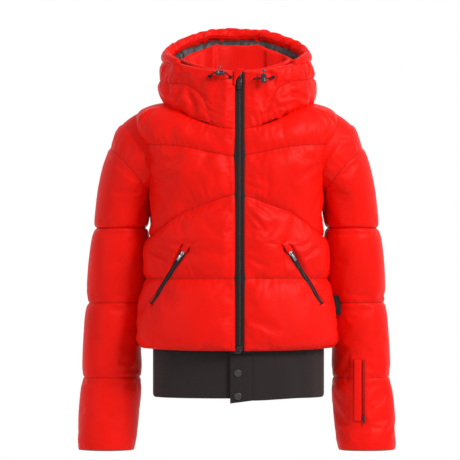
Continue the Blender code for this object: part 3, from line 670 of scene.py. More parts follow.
def to_object(name: str, bm: bmesh.types.BMesh, finish: object) -> bpy.types.Object:
    """Makes an object of a bmesh, in place.

    Args:
        name: the piece's name.
        bm: the mesh; it is freed.
        finish: its finish.

    Returns:
        The object.
    """
    mesh = bpy.data.meshes.new(name)
    bm.to_mesh(mesh)
    bm.free()
    mesh.shade_smooth()
    mesh.materials.append(dressed(finish))
    obj = bpy.data.objects.new(name, mesh)
    bpy.context.scene.collection.objects.link(obj)
    return obj


def settle(obj: bpy.types.Object, body: str, slot: str, *nodes: str) -> None:
    """Hangs a piece on its body and hides the nodes that it stands for.

    Args:
        obj: the piece.
        body: the body that it rides on.
        slot: the material slot; it is not used.
        nodes: the nodes that it stands for.
    """
    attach(obj, body)
    if nodes:
        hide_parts(*nodes)
    LOG.info("%s made", obj.name)


def subdivide(obj: bpy.types.Object) -> None:
    """Adds a subdivision that shows the same everywhere."""
    modifier = obj.modifiers.new("subdivision", "SUBSURF")
    modifier.levels = modifier.render_levels = 1


def thicken(obj: bpy.types.Object, thickness: float, offset: float = -1.0, bevel: float = 0.0) -> None:
    """Adds a wall to a sheet.

    Args:
        obj: the sheet.
        thickness: the wall.
        offset: -1 inwards, 1 outwards.
        bevel: rounding of its edges.
    """
    wall = obj.modifiers.new("wall", "SOLIDIFY")
    wall.thickness, wall.offset = thickness, offset
    if bevel:
        edge = obj.modifiers.new("edge", "BEVEL")
        edge.width, edge.segments, edge.limit_method = bevel, 2, "ANGLE"


def turn_in(obj: bpy.types.Object, test: Callable[[Vector], bool], moves: Sequence[tuple]) -> None:
    """Turns a raw edge of a cloth inwards as a facing, in its second material.

    Args:
        obj: the cloth.
        test: tells whether a vertex is on the edge that turns.
        moves: for each strip of the facing, how far inwards and how far up.
    """
    with editing(obj) as bm:
        bm.normal_update()
        edges = [e for e in bm.edges if e.is_boundary and all(test(v.co) for v in e.verts)]
        inward = {v: -v.normal for e in edges for v in e.verts}
        for inwards, upwards in moves:
            made = bmesh.ops.extrude_edge_only(bm, edges=edges)["geom"]
            new = [item for item in made if isinstance(item, bmesh.types.BMVert)]
            near = {}
            for vert in new:
                near[vert] = min((e.other_vert(vert) for e in vert.link_edges if e.other_vert(vert) in inward),
                                 key=lambda other: (other.co - vert.co).length)
            for vert in new:
                way = inward[near[vert]].copy()
                way.z = 0.0
                vert.co += way.normalized() * inwards + Vector((0, 0, upwards))
            inward = {vert: inward[near[vert]] for vert in new}
            for face in {f for v in new for f in v.link_faces}:
                face.material_index = 1
            edges = [item for item in made if isinstance(item, bmesh.types.BMEdge)
                     and all(v in inward for v in item.verts)]


@dataclass
class Puff:
    """One cloth piece that is blown up between its seams."""

    obj: bpy.types.Object
    pressure: float  # how hard it is blown
    growth: float  # how much longer the cloth is than its place
    cap: float  # the furthest that a point may move


class SewingRoom:
    """Blows up the padded pieces together by cloth simulation."""

    frames: int = 16

    def __init__(self) -> None:
        """Starts with no pieces."""
        self.puffs: list = []

    def take(self, obj: bpy.types.Object, pressure: float, growth: float, cap: float) -> None:
        """Adds a piece to blow up, with its pins in its first vertex group."""
        self.puffs.append(Puff(obj, pressure, growth, cap))

    def run(self) -> None:
        """Simulates all pieces and keeps the result in their meshes."""
        scene = bpy.context.scene
        scene.frame_start, scene.frame_end = 1, self.frames
        for puff in self.puffs:
            cloth = puff.obj.modifiers.new("cloth", "CLOTH")
            made = cloth.settings
            made.quality, made.mass = 5, 0.12
            made.tension_stiffness = made.compression_stiffness = 12.0
            made.shear_stiffness = 4.0
            made.bending_stiffness = 0.25
            made.use_pressure = True
            made.uniform_pressure_force = puff.pressure
            made.shrink_min = -puff.growth
            made.vertex_group_mass = "pins"
            made.pin_stiffness = 2.0
            made.effector_weights.gravity = 0.0
            made.air_damping = 3.0
            cloth.collision_settings.use_collision = False
            cloth.collision_settings.use_self_collision = False
            cloth.point_cache.frame_end = self.frames
        for step in range(1, self.frames + 1):
            scene.frame_set(step)
        graph = bpy.context.evaluated_depsgraph_get()
        for puff in self.puffs:
            self._keep(puff, graph)
        scene.frame_set(1)

    @staticmethod
    def _keep(puff: Puff, graph: bpy.types.Depsgraph) -> None:
        """Writes a simulated shape into the piece's mesh.

        Args:
            puff: the piece.
            graph: the evaluated scene.
        """
        mesh = puff.obj.data
        count = len(mesh.vertices)
        was, now = np.zeros(count * 3), np.zeros(count * 3)
        mesh.vertices.foreach_get("co", was)
        puff.obj.evaluated_get(graph).data.vertices.foreach_get("co", now)
        moved = (now - was).reshape(-1, 3)
        length = np.linalg.norm(moved, axis=1, keepdims=True)
        moved *= puff.cap * np.tanh(length / puff.cap) / np.maximum(length, 1e-9)
        puff.obj.modifiers.clear()
        mesh.vertices.foreach_set("co", (was + moved.ravel()))
        mesh.update()
        with editing(puff.obj) as bm:
            inner = [v for v in bm.verts if not v.is_boundary]
            bmesh.ops.smooth_vert(bm, verts=inner, factor=0.35, use_axis_x=True, use_axis_y=True, use_axis_z=True)
        LOG.info("%s puffed, furthest move %.1f mm", puff.obj.name, float(length.max()) * 1000)


SEWING = SewingRoom()


# ---- the body's surfaces ------------------------------------------------------------------
@dataclass(frozen=True)
class Front:
    """Line of the front closure."""

    x: float = 0.006
    opening: float = 0.015
    hem_z: float = -0.478
    top_z: float = 0.058
    bottom_y: float = -0.128
    top_y: float = -0.112

    def y(self, z: Array) -> Array:
        """Depth of the closure at a height."""
        return self.bottom_y + (self.top_y - self.bottom_y) * (z - self.hem_z) / (self.top_z - self.hem_z)

    def edge(self, side: Side) -> float:
        """x of one front edge."""
        return self.x + side.value * self.opening / 2


FRONT = Front()
POWER = 0.87  # below 1 makes a section squarer than an ellipse
HALVINGS = 30  # steps of a search for a place
EDGE_COLUMNS = np.array([0.0, 0.0008, 0.0020, 0.0036, 0.0056, 0.0080])  # metres from a free front edge


@dataclass(frozen=True)
class Rings:
    """Rings round the body: side x, side z, front z, back y, back z at each station."""

    rows: tuple
    setback: float = 0.0
    back_power: float = 2.0

    def row(self, index: int, share: Array) -> Array:
        """One column of the table at a share of the height."""
        return track([row[index] for row in self.rows], np.asarray(share) * (len(self.rows) - 1))

    def point(self, angle: Array, share: Array, power: Array = POWER) -> Array:
        """Places on the surface.

        Args:
            angle: from the front centre towards the wearer's left.
            share: of the height.
            power: squareness of the section.

        Returns:
            The places.
        """
        side_x, side_z, front_z, back_y, back_z = (self.row(k, share) for k in range(5))
        sine, cosine = np.sin(angle), np.cos(angle)
        x = side_x * spow(sine, power)
        ahead = cosine >= 0
        depth = -(FRONT.y(front_z) + self.setback)
        weight = np.where(ahead, cosine**2, np.abs(cosine) ** self.back_power)
        y = np.where(ahead, -depth * spow(cosine, power), back_y * spow(-cosine, power))
        z = side_z + (np.where(ahead, front_z, back_z) - side_z) * weight
        return places(x, y, z)

    def edge_angle(self, share: Array, x: Array, power: Array = POWER) -> Array:
        """Angle at which the ring has the given x near the front centre."""
        side_x = self.row(0, share)
        return np.sign(x) * np.arcsin(np.clip(np.abs(x) / side_x, 0.0, 1.0) ** (1 / power))

    def on_front(self, x: Array, z: Array) -> tuple:
        """Angle and share of the front's place with the given x and z."""
        low, high = np.zeros_like(x), np.ones_like(x)
        for _ in range(HALVINGS):
            share = (low + high) / 2
            under = self.point(self.edge_angle(share, x), share)[..., 2] < z
            low, high = np.where(under, share, low), np.where(under, high, share)
        return self.edge_angle(share, x), share


TORSO = Rings((
    (0.187, -0.478, -0.478, 0.119, -0.478),
    (0.1935, -0.455, -0.455, 0.126, -0.455),
    (0.188, -0.385, -0.385, 0.126, -0.385),
    (0.1795, -0.310, -0.315, 0.124, -0.310),
    (0.174, -0.250, -0.258, 0.124, -0.245),
    (0.166, -0.190, -0.200, 0.125, -0.175),
    (0.178, -0.105, -0.150, 0.122, -0.105),
    (0.194, -0.046, -0.108, 0.113, -0.058),
    (0.189, -0.0175, -0.080, 0.101, -0.030),
    (0.156, -0.0025, -0.062, 0.093, -0.010),
    (0.120, 0.0005, -0.0495, 0.088, -0.0015),
))
COWL = Rings((
    (0.116, 0.0045, -0.0465, 0.084, 0.0045),
    (0.142, 0.0075, -0.026, 0.120, 0.014),
    (0.150, 0.036, 0.004, 0.138, 0.050),
    (0.1485, 0.066, 0.034, 0.130, 0.098),
    (0.138, 0.088, 0.060, 0.085, 0.135),
), back_power=1.3)
COLLAR = Rings((
    (0.092, 0.004, -0.036, 0.050, 0.006),
    (0.103, 0.030, -0.004, 0.058, 0.040),
    (0.110, 0.062, 0.030, 0.062, 0.078),
    (0.111, 0.084, 0.058, 0.062, 0.111),
), setback=0.018)


# ---- torso --------------------------------------------------------------------------------
@dataclass(frozen=True)
class QuiltSeam:
    """A seam round the body: its height against the distance from the front or back centre."""

    reach: tuple
    height: tuple

    def z(self, x: Array) -> Array:
        """Height at a distance from the centre."""
        return np.interp(np.abs(x), self.reach, self.height)


@dataclass
class PocketSlit:
    """A slanted hand-pocket opening on the torso's front."""

    side: Side
    top_x: float = 0.100
    top_z: float = -0.283
    bottom_x: float = 0.165
    bottom_z: float = -0.388
    top_y: float = -0.10657
    bottom_y: float = -0.06996
    halves: tuple = ((0.0, 0.80, 1.0), (0.0068, 0.0046, 0.0022))  # half width down the slit

    def ends(self) -> tuple:
        """The slit's upper and lower end."""
        s = self.side.value
        return (Vector((s * self.top_x, self.top_y, self.top_z)),
                Vector((s * self.bottom_x, self.bottom_y, self.bottom_z)))

    def axes(self) -> Matrix:
        """Axes at the slit's middle: X across it, Y outwards, Z down it."""
        top, bottom = self.ends()
        along = (bottom - top).normalized()
        outward = Vector((self.side.value * abs(along.y), -abs(along.x), 0)).normalized()
        matrix = Matrix((outward.cross(along), outward, along)).transposed().to_4x4()
        matrix.translation = (top + bottom) / 2
        return matrix

    def half(self, share: Array) -> Array:
        """Half width at a share of the way down."""
        return np.interp(share, *self.halves)

    def length(self) -> float:
        """Length of the slit."""
        top, bottom = self.ends()
        return (bottom - top).length

    def sink(self, points: Array) -> Array:
        """How far the cloth is drawn in round the slit.

        Args:
            points: places on the panel.

        Returns:
            A weight that is 1 inside the slit.
        """
        top, bottom = (np.array(end) for end in self.ends())
        line = np.stack([top + (bottom - top) * k / 12 for k in range(13)])
        gap, run = distance_to(points, line)
        return 1 - rise(gap - self.half(run / self.length()), -0.0012, 0.0050)


@dataclass
class TorsoQuilt:
    """Three padded panels with their chevron seams."""

    low_seam: QuiltSeam = QuiltSeam((0.0, 0.2), (-0.339, -0.339))
    chevron: QuiltSeam = QuiltSeam(
        (0.0, 0.03, 0.06, 0.105, 0.13, 0.156, 0.175, 0.2),
        (-0.176, -0.184, -0.196, -0.211, -0.226, -0.244, -0.259, -0.262))
    yoke: QuiltSeam = QuiltSeam(
        (0.0, 0.05, 0.09, 0.13, 0.2), (-0.106, -0.097, -0.088, -0.083, -0.083))
    back_chevron: QuiltSeam = QuiltSeam(
        (0.0, 0.08, 0.14, 0.175, 0.2), (-0.205, -0.225, -0.246, -0.259, -0.262))
    back_yoke: QuiltSeam = QuiltSeam((0.0, 0.1, 0.2), (-0.125, -0.105, -0.083))
    band_rows: tuple = (36, 40, 28, 20)
    heights: tuple = (0.012, 0.0125, 0.0105, 0.006)
    front_columns: int = 74
    front_width: float = 0.27
    back_columns: int = 132
    sunk: float = 0.70  # share of a puff's height that lies inside the plain surface
    gather: float = 0.0017
    gather_length: float = 0.013
    edge_roll: float = 0.0065
    pocket_depth: float = 0.0075
    folds: Folds = Folds((
        (0.018, -0.186, 0.062, -0.222, 0.0030, 0.0042),
        (0.018, -0.203, 0.050, -0.243, 0.0026, 0.0040),
        (0.020, -0.160, 0.058, -0.172, 0.0020, 0.0040),
        (-0.016, -0.190, -0.048, -0.214, 0.0020, 0.0042),
        (0.022, -0.300, 0.060, -0.318, 0.0016, 0.0050),
        (-0.018, -0.352, -0.046, -0.372, 0.0018, 0.0045),
        (0.150, -0.120, 0.118, -0.150, 0.0026, 0.0055),
        (-0.150, -0.125, -0.120, -0.152, 0.0022, 0.0055),
        (0.160, -0.275, 0.128, -0.300, 0.0022, 0.0055),
        (-0.160, -0.285, -0.130, -0.310, 0.0020, 0.0055),
    ))

    def power(self, share: Array) -> Array:
        """Squareness of the section, squarer at the armholes."""
        return POWER - 0.20 * rise(share, 0.50, 0.66) * (1 - rise(share, 0.80, 0.94))

    def _angle(self, u: Array, share: Array, side: Optional[Side]) -> Array:
        """Angle of a column at a share of the height.

        Args:
            u: share of the panel's width.
            share: share of the height.
            side: the front panel's side, or None for the back.

        Returns:
            The angles.
        """
        if side is None:
            return math.pi / 2 + u * math.pi
        power = self.power(share)
        start = TORSO.edge_angle(share, FRONT.edge(side), power)
        return start + (side.value * math.pi / 2 - start) * u

    def _seam_share(self, u: Array, seam: QuiltSeam, side: Optional[Side]) -> Array:
        """Share of the height at which each column crosses a seam.

        Args:
            u: shares of the panel's width.
            seam: the seam.
            side: the front panel's side, or None for the back.

        Returns:
            One share per column.
        """
        low, high = np.zeros_like(u), np.ones_like(u)
        for _ in range(HALVINGS):
            middle = (low + high) / 2
            place = TORSO.point(self._angle(u, middle, side), middle, self.power(middle))
            under = place[:, 2] < seam.z(place[:, 0])
            low, high = np.where(under, middle, low), np.where(under, high, middle)
        return (low + high) / 2

    def _shares(self, u: Array, side: Optional[Side]) -> tuple:
        """Heights of all rows.

        Args:
            u: shares of the panel's width.
            side: the front panel's side, or None for the back.

        Returns:
            Shares, the band of each row, and how far through its band each row is.
        """
        seams = [self.low_seam, self.chevron, self.yoke] if side else [
            self.low_seam, self.back_chevron, self.back_yoke]
        lines = np.stack([np.zeros_like(u), *(self._seam_share(u, s, side) for s in seams), np.ones_like(u)])
        bands, through = spaced(self.band_rows, 1.25)
        return lines[bands] + (lines[bands + 1] - lines[bands]) * through[:, None], bands, through

    def panel(self, side: Optional[Side]) -> tuple:
        """Builds one panel's cloth.

        Args:
            side: the front panel's side, or None for the back.

        Returns:
            The cloth and its centre.
        """
        if side is None:
            u = np.linspace(0, 1, self.back_columns)
        else:
            tight = EDGE_COLUMNS / self.front_width
            u = np.concatenate((tight, np.linspace(tight[-1], 1, self.front_columns - 5)[1:]))
        shares, bands, through = self._shares(u, side)
        points = TORSO.point(self._angle(u[None, :], shares, side), shares, self.power(shares))
        centre = np.array([0.0, -0.01, -0.25])
        across = travelled(points)
        from_end = across[:, -1:] - across
        band_height = np.zeros_like(across)
        for band in range(len(self.band_rows)):
            rows = np.where(bands == band)[0]
            top = rows[-1] + 1 if rows[-1] + 1 < len(points) else rows[-1]
            band_height[rows] = np.linalg.norm(points[top] - points[rows[0]], axis=1)
        w = through[:, None]
        gap = np.minimum(w, 1 - w) * band_height
        profile = (4 * w * (1 - w)) ** 0.42
        heights = np.array(self.heights)[bands][:, None] * np.clip(band_height / 0.085, 0.55, 1.1)
        side_gap = from_end if side else np.minimum(across, from_end)
        z = points[..., 2]
        at_side = (1 - np.exp(-side_gap / 0.010)) * 0.60 + 0.40
        at_side = at_side + (1 - at_side) * rise(z, -0.185, -0.150)
        puff = heights * (profile * at_side - self.sunk)
        sew = np.minimum(gap, np.where(z < -0.17, side_gap, FAR))
        ripple = Ripple(11 if side is None else 7 + side.value, self.gather_length)
        fade = np.exp(-gap / 0.012) * (1 - np.exp(-gap / 0.0012))
        fade = fade * (1 + 0.9 * rise(-z, -FRONT.hem_z - 0.03, -FRONT.hem_z))
        puff = puff + self.gather * fade * ripple.at(across, gap) * rise(across if side else side_gap, 0.006, 0.03)
        slow = Ripple(31 if side is None else 27 + side.value, 0.075)
        puff = puff + 0.0012 * slow.at(across, z) * profile + self.folds.at(points)
        if side is not None:
            flat = -0.0012 + 0.0024 * (profile - 0.6)
            puff = flat + (puff - flat) * rise(across, 0.001, 0.026)
            weight = PocketSlit(side).sink(points)
            puff = puff + (-self.pocket_depth - puff) * weight - rounding(across, self.edge_roll)
        on_top = rise(z, -0.040, -0.018) * rise(np.abs(points[..., 0]), 0.06, 0.11)
        puff = puff + (0.0022 * (1 - rise(shares, 0.955, 1.0)) - puff) * on_top
        pins = np.where(gap < 0.0004, 1.0, 0.0)
        pins = np.where(side_gap < 0.001, 1.0, pins)
        if side is not None:
            pins = np.where(across < 0.0075, 1.0, pins)
            pins = np.where(weight > 0.02, 1.0, pins)
        pins = np.where((z > -0.17) & (side_gap < 0.05), 1.0, pins)
        cloth = Cloth(points, sew, across, pins)
        cloth.push(puff, centre)
        return cloth, centre

    def build(self) -> None:
        """Makes the three panels."""
        names = {Side.RIGHT: "front_panel_right", Side.LEFT: "front_panel_left", None: "back_panel"}
        for side, node in names.items():
            cloth, centre = self.panel(side)
            obj = cloth.make(f"quilted_{node}", RED, centre)
            obj.data.materials.append(dressed(LINING))
            SEWING.take(obj, pressure=2.2, growth=0.045, cap=0.006)
            PIECES.add(obj, node, self._finish)

    def _finish(self, obj: bpy.types.Object, node: str) -> None:
        """Ends a puffed panel.

        Args:
            obj: the panel.
            node: the node that it stands for.
        """
        turn_in(obj, lambda co: co.z < FRONT.hem_z + 0.004, ((0.005, -0.001), (0.006, 0.010), (0.003, 0.03)))
        subdivide(obj)
        settle(obj, "torso", "shell_fabric", node)


class PieceList:
    """Pieces that are finished after the padding has been blown up."""

    def __init__(self) -> None:
        """Starts empty."""
        self.waiting: list = []

    def add(self, obj: bpy.types.Object, node: object, finish: Callable) -> None:
        """Puts off the end of a piece.

        Args:
            obj: the piece.
            node: what the finishing step needs to know.
            finish: the finishing step.
        """
        self.waiting.append((obj, node, finish))

    def finish(self) -> None:
        """Ends every waiting piece."""
        for obj, node, step in self.waiting:
            step(obj, node)


PIECES = PieceList()


# ---- sleeves ------------------------------------------------------------------------------
@dataclass
class Sleeve:
    """A padded sleeve in two lengths that meet at a quilt seam."""

    side: Side
    rows: tuple = (
        (0.1660, -0.1635, 0.1985, -0.0125, 0.070, 0.000, 0.034),
        (0.1675, -0.1680, 0.2212, -0.0375, 0.071, 0.006, 0.020),
        (0.1690, -0.1740, 0.2405, -0.0740, 0.072, 0.013, 0.009),
        (0.1705, -0.1820, 0.2560, -0.1200, 0.071, 0.020, 0.003),
        (0.1710, -0.1930, 0.2660, -0.1650, 0.069, 0.028, 0.0),
        (0.1725, -0.2100, 0.2720, -0.2070, 0.067, 0.034, 0.0),
        (0.1750, -0.242, 0.2775, -0.242, 0.066, 0.038, 0.0),
        (0.1785, -0.310, 0.2845, -0.310, 0.064, 0.043, 0.0),
        (0.1845, -0.388, 0.2910, -0.388, 0.061, 0.046, 0.0),
        (0.1930, -0.460, 0.2950, -0.460, 0.059, 0.046, 0.0),
        (0.1890, -0.534, 0.2998, -0.534, 0.057, 0.044, 0.0),
        (0.1950, -0.605, 0.3045, -0.605, 0.055, 0.040, 0.0),
        (0.2020, -0.675, 0.3070, -0.675, 0.052, 0.035, 0.0),
    )
    columns: int = 92
    puff_height: float = 0.0085
    sunk: float = 0.68
    gather: float = 0.0014

    def point(self, turn: Array, t: Array) -> Array:
        """Places on the sleeve.

        Args:
            turn: 0 at the back, a quarter outside, a half at the front.
            t: station.

        Returns:
            The places.
        """
        ix, iz, ox, oz, half, cy, pull = (track([r[k] for r in self.rows], t) for k in range(7))
        sine, cosine = np.sin(turn), np.cos(turn)
        x = (ix + ox) / 2 + (ox - ix) / 2 * sine - pull * cosine**2
        y = cy + half * cosine
        z = (iz + oz) / 2 + (oz - iz) / 2 * sine
        return places(self.side.value * x, y, z)

    def cloth(self, seams: Sequence[float], counts: Sequence[int], strength: Sequence[float],
              seed: int, sewn_end: bool) -> tuple:
        """Builds a length of sleeve.

        Args:
            seams: stations of its ends and seams.
            counts: rows between them.
            strength: how deeply each of those seams is drawn in.
            seed: seed of its gathers.
            sewn_end: whether its lower end is a stitched seam.

        Returns:
            The cloth and its centre.
        """
        band_of, through = spaced(counts, 1.2)
        seams = np.array(seams)
        t = (seams[band_of] + (seams[band_of + 1] - seams[band_of]) * through)[:, None]
        turn = np.linspace(0, TAU, self.columns + 1)[None, :]
        points = self.point(turn + 0 * t, t + 0 * turn)
        length, run = travelled(points, 0), travelled(points)
        gap, depth = np.zeros(points.shape[:2]), np.zeros(points.shape[:2])
        for band in range(len(counts)):
            rows = np.where(band_of == band)[0]
            low = length[rows] - length[rows[0]]
            high = length[min(rows[-1] + 1, len(points) - 1)] - length[rows]
            gap[rows] = np.minimum(low, high)
            for away, deep in ((low, strength[band]), (high, strength[band + 1])):
                depth[rows] += deep * (0.62 * np.exp(-away / 0.020) + 0.38 * np.exp(-away / 0.005))
        ripple = Ripple(seed, 0.0125)
        around = run / run[:, -1:] * TAU
        fade = np.exp(-gap / 0.013) * (1 - np.exp(-gap / 0.0012)) * np.clip(depth * 1.6, 0, 1)
        wave = sum(np.sin(n * around + p + gap * 40 * lean) for n, p, lean in zip(
            (17, 23, 29, 31, 37), ripple.phase, ripple.lean)) / math.sqrt(5)
        puff = self.puff_height * ((1 - self.sunk) - depth) + self.gather * fade * wave
        slow = sum(np.sin(n * around + p + length * 45 * lean) for n, p, lean in zip(
            (2, 3, 5), ripple.phase, ripple.lean)) / math.sqrt(3)
        puff = puff + 0.0011 * slow * (1 - np.clip(depth, 0, 1))
        pins = np.where(gap < 0.0004, 1.0, 0.0)
        if not sewn_end:
            gap = np.where(length[-1:] - length < 0.02, FAR, gap)
        cloth = Cloth(points, gap, run, pins, closed=True)
        middle = points[:, :-1].mean(axis=1)[:, None, :]
        cloth.push(puff, middle)
        return cloth, middle

    def build(self) -> None:
        """Makes both lengths of the sleeve."""
        word = self.side.word
        upper, middle = self.cloth((0.0, 2.3, 6.0), (26, 36), (0.9, 0.30, 0.80), 40 + self.side.value, True)
        inward = np.zeros(len(upper.points))
        inward[:27] = 1 - rise(np.linspace(0, 2.3, 27), 0.0, 1.6)
        upper.points[..., 0] -= self.side.value * 0.010 * inward[:, None]
        upper.points[..., 1] += (middle[:, :, 1] - upper.points[..., 1]) * 0.10 * inward[:, None]
        upper.pins[:14] = 1.0
        obj = upper.make(f"sleeve_top_{word}", RED, self._inside(upper))
        SEWING.take(obj, pressure=2.0, growth=0.045, cap=0.005)
        PIECES.add(obj, "upper", self._finish)
        lower, _ = self.cloth((6.0, 8.0, 10.0, 12.0), (36, 36, 36), (0.80, 0.85, 0.70, 0.05),
                              50 + self.side.value, False)
        if self.side is Side.LEFT:
            self._press_under_welt(lower)
        obj = lower.make(f"sleeve_arm_{word}", RED, self._inside(lower))
        obj.data.materials.append(dressed(LINING))
        SEWING.take(obj, pressure=2.0, growth=0.045, cap=0.005)
        PIECES.add(obj, "lower", self._finish)

    def _press_under_welt(self, cloth: Cloth) -> None:
        """Lays the padding flat under the forearm pocket.

        Args:
            cloth: the lower length.
        """
        low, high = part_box("pass_welt")
        _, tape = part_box("pass_zip_tape")
        x, z = cloth.points[..., 0], cloth.points[..., 2]
        weight = rise(x, low.x - 0.010, low.x) * (1 - rise(x, tape.x, tape.x + 0.010))
        weight = weight * rise(z, low.z - 0.012, low.z) * (1 - rise(z, high.z, high.z + 0.012))
        weight = np.where(cloth.points[..., 1] < 0.03, weight, 0.0)
        target = high.y + 0.0006
        cloth.points[..., 1] += (target - cloth.points[..., 1]) * weight * (cloth.points[..., 1] < target + 0.02)
        cloth.pins = np.maximum(cloth.pins, np.where(weight > 0.5, 1.0, 0.0))
        cloth.gap = np.where(weight > 0.3, FAR, cloth.gap)

    @staticmethod
    def _inside(cloth: Cloth) -> Array:
        """Middle of the whole length."""
        return cloth.points.reshape(-1, 3).mean(axis=0)

    def _finish(self, obj: bpy.types.Object, part: str) -> None:
        """Ends a length of sleeve.

        Args:
            obj: the length.
            part: "upper" or "lower".
        """
        word, s = self.side.word, self.side.value
        if part == "lower":
            turn_in(obj, lambda co: co.z < -0.668,
                    ((0.0006, -0.0012), (0.0026, -0.0004), (0.004, 0.014), (0.006, 0.034)))
        subdivide(obj)
        if part == "upper":
            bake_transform(obj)
            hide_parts(f"sleeve_cap_{word}", f"sleeve_upper_{word}")
        else:
            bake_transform(obj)
            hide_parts(f"elbow_gusset_{word}", f"sleeve_fore_{word}")


# ---- hood and collar ----------------------------------------------------------------------
@dataclass
class Hood:
    """The laid-back hood: padded shell, gathered brim and dark lining."""

    columns: int = 250
    row_count: int = 56
    width: float = 0.8
    edge_roll: float = 0.0065
    lip: float = 0.006
    seams: tuple = (  # x and z along each curved front seam, from the neck up and outwards
        ((-0.0480, -0.0480), (-0.0500, -0.0370), (-0.0560, -0.0160), (-0.0640, 0.0040), (-0.0760, 0.0210),
         (-0.0930, 0.0310), (-0.1120, 0.0362), (-0.1320, 0.0375)),
        ((0.0600, -0.0480), (0.0600, -0.0370), (0.0620, -0.0140), (0.0680, 0.0080), (0.0790, 0.0270),
         (0.0960, 0.0370), (0.1150, 0.0415), (0.1330, 0.0440)),
    )
    side_share: float = 0.52
    folds: Folds = Folds((
        (-0.108, 0.026, -0.118, 0.002, 0.0042, 0.0045),
        (-0.094, 0.018, -0.080, -0.012, 0.0022, 0.0050),
        (0.100, 0.020, 0.132, 0.006, 0.0042, 0.0045),
        (0.086, 0.004, 0.122, 0.022, 0.0024, 0.0045),
        (0.078, -0.012, 0.110, 0.000, 0.0022, 0.0045),
    ))
    brim_start: float = 50.0
    brim_radius: float = 0.0124  # half height of the roll
    brim_depth: float = 0.0112
    lining_depth: float = 0.0145
    centre: tuple = (0.0, 0.0, 0.045)
    fold_start: tuple = (0.0, 0.0, 0.060)
    fold_end: tuple = (0.0, 0.0203, 0.118)

    def _seam_line(self, seam: Sequence) -> tuple:
        """One curved seam from the neck up, round the side and to the nape's centre.

        Args:
            seam: x and z of its places on the front.

        Returns:
            Places along it, their angles and their shares of the height.
        """
        t = np.linspace(0, len(seam) - 1, 60)
        angle, share = COWL.on_front(track([x for x, _ in seam], t), track([z for _, z in seam], t))
        behind = np.linspace(angle[-1], math.copysign(math.pi, angle[-1]), 41)[1:]
        level = share[-1] + (self.side_share - share[-1]) * np.linspace(0, 1, 40)
        turns, levels = np.concatenate((angle, behind)), np.concatenate((share, level))
        return COWL.point(turns, levels), turns, levels

    def shell(self) -> None:
        """Makes the padded shell, from one front edge round to the other."""
        share = np.linspace(0, 1, self.row_count)[:, None]
        left = COWL.edge_angle(share, FRONT.edge(Side.LEFT))
        right = TAU + COWL.edge_angle(share, FRONT.edge(Side.RIGHT))
        edge = EDGE_COLUMNS / self.width
        u = np.concatenate((edge, np.linspace(edge[-1], 1 - edge[-1], self.columns - 10)[1:-1], 1 - edge[::-1]))
        angle = left + (right - left) * u[None, :]
        points = COWL.point(angle, share + 0 * angle)
        beside = 1 - rise(np.cos(angle), 0.35, 0.92)
        points[..., 2] -= (0.0045 + 0.0065 * beside) * (1 - rise(share + 0 * angle, 0.05 + 0.15 * beside, 0.48))
        gap, run = np.full(points.shape[:2], FAR), np.zeros(points.shape[:2])
        side_of = np.ones(points.shape[:2])
        for seam in self.seams:
            line, turns, levels = self._seam_line(seam)
            near, where = distance_to(points, line)
            closer = near < gap
            gap[closer], run[closer] = near[closer], where[closer]
            around = angle if seam[0][0] > 0 else TAU - angle
            level = np.interp(around, np.abs(turns), levels, left=-1.0)
            side_of = np.where((around <= math.pi) & (share < level), -1.0, side_of)
        from_neck, across = travelled(points, 0), travelled(points)
        edge_gap = np.minimum(across, across[:, -1:] - across)
        from_rim = from_neck[-1:] - from_neck
        front = rise(np.cos(angle), 0.30, 0.75)
        puff = 0.0026 * (1 - np.exp(-gap / 0.010)) - 0.0022 * np.exp(-gap / 0.004) + self.folds.at(points)
        puff = puff - 0.0030 * np.exp(-from_neck / 0.007) * (1 - beside)
        puff = puff - 0.005 * np.exp(-from_rim / 0.008) * (1 - front)
        ripple, slow = Ripple(71, 0.016), Ripple(72, 0.055, lean=1.0)
        gathers = np.exp(-from_neck / 0.022) * 0.7 + np.exp(-from_rim / 0.020) * (1 - front)
        puff = puff + 0.0020 * gathers * ripple.at(across, from_neck)
        puff = puff + 0.0018 * slow.at(across, from_neck * 1.4) * (1 - 0.75 * front)
        flat = -0.0006
        puff = flat + (puff - flat) * rise(edge_gap, 0.001, 0.022)
        puff = puff - rounding(edge_gap, self.edge_roll) - rounding(from_rim, self.lip)
        pins = np.where((gap < 0.0016) | (edge_gap < 0.008) | (from_neck < 0.001) | (from_rim < 0.004), 1.0, 0.0)
        sew = side_of * np.minimum(gap, from_neck + 0.0022)
        cloth = Cloth(points, sew, np.where(gap < 0.02, run, across), pins)
        cloth.push(puff, self.centre)
        obj = cloth.make("hood_padded_shell", RED, self.centre)
        obj.data.materials.append(dressed(LINING))
        SEWING.take(obj, pressure=1.6, growth=0.055, cap=0.006)
        PIECES.add(obj, ("hood_front_right", "hood_front_left", "hood_skirt", "hood_gusset", "hood_crown"), self._finish)

    def _rim(self, count: int, start: float) -> tuple:
        """Places along the rim with their outward and upward directions.

        Args:
            count: number of places.
            start: angle of the first, in degrees from the front.

        Returns:
            Places, outward and upward directions.
        """
        angle = np.radians(np.linspace(start, 360 - start, count))
        path = COWL.point(angle, np.ones(count))
        along = np.gradient(path, axis=0)
        along /= np.linalg.norm(along, axis=1, keepdims=True)
        outward = np.cross(along, np.array([0.0, 0.0, 1.0]))
        outward /= np.linalg.norm(outward, axis=1, keepdims=True)
        return path, outward, np.cross(outward, along)

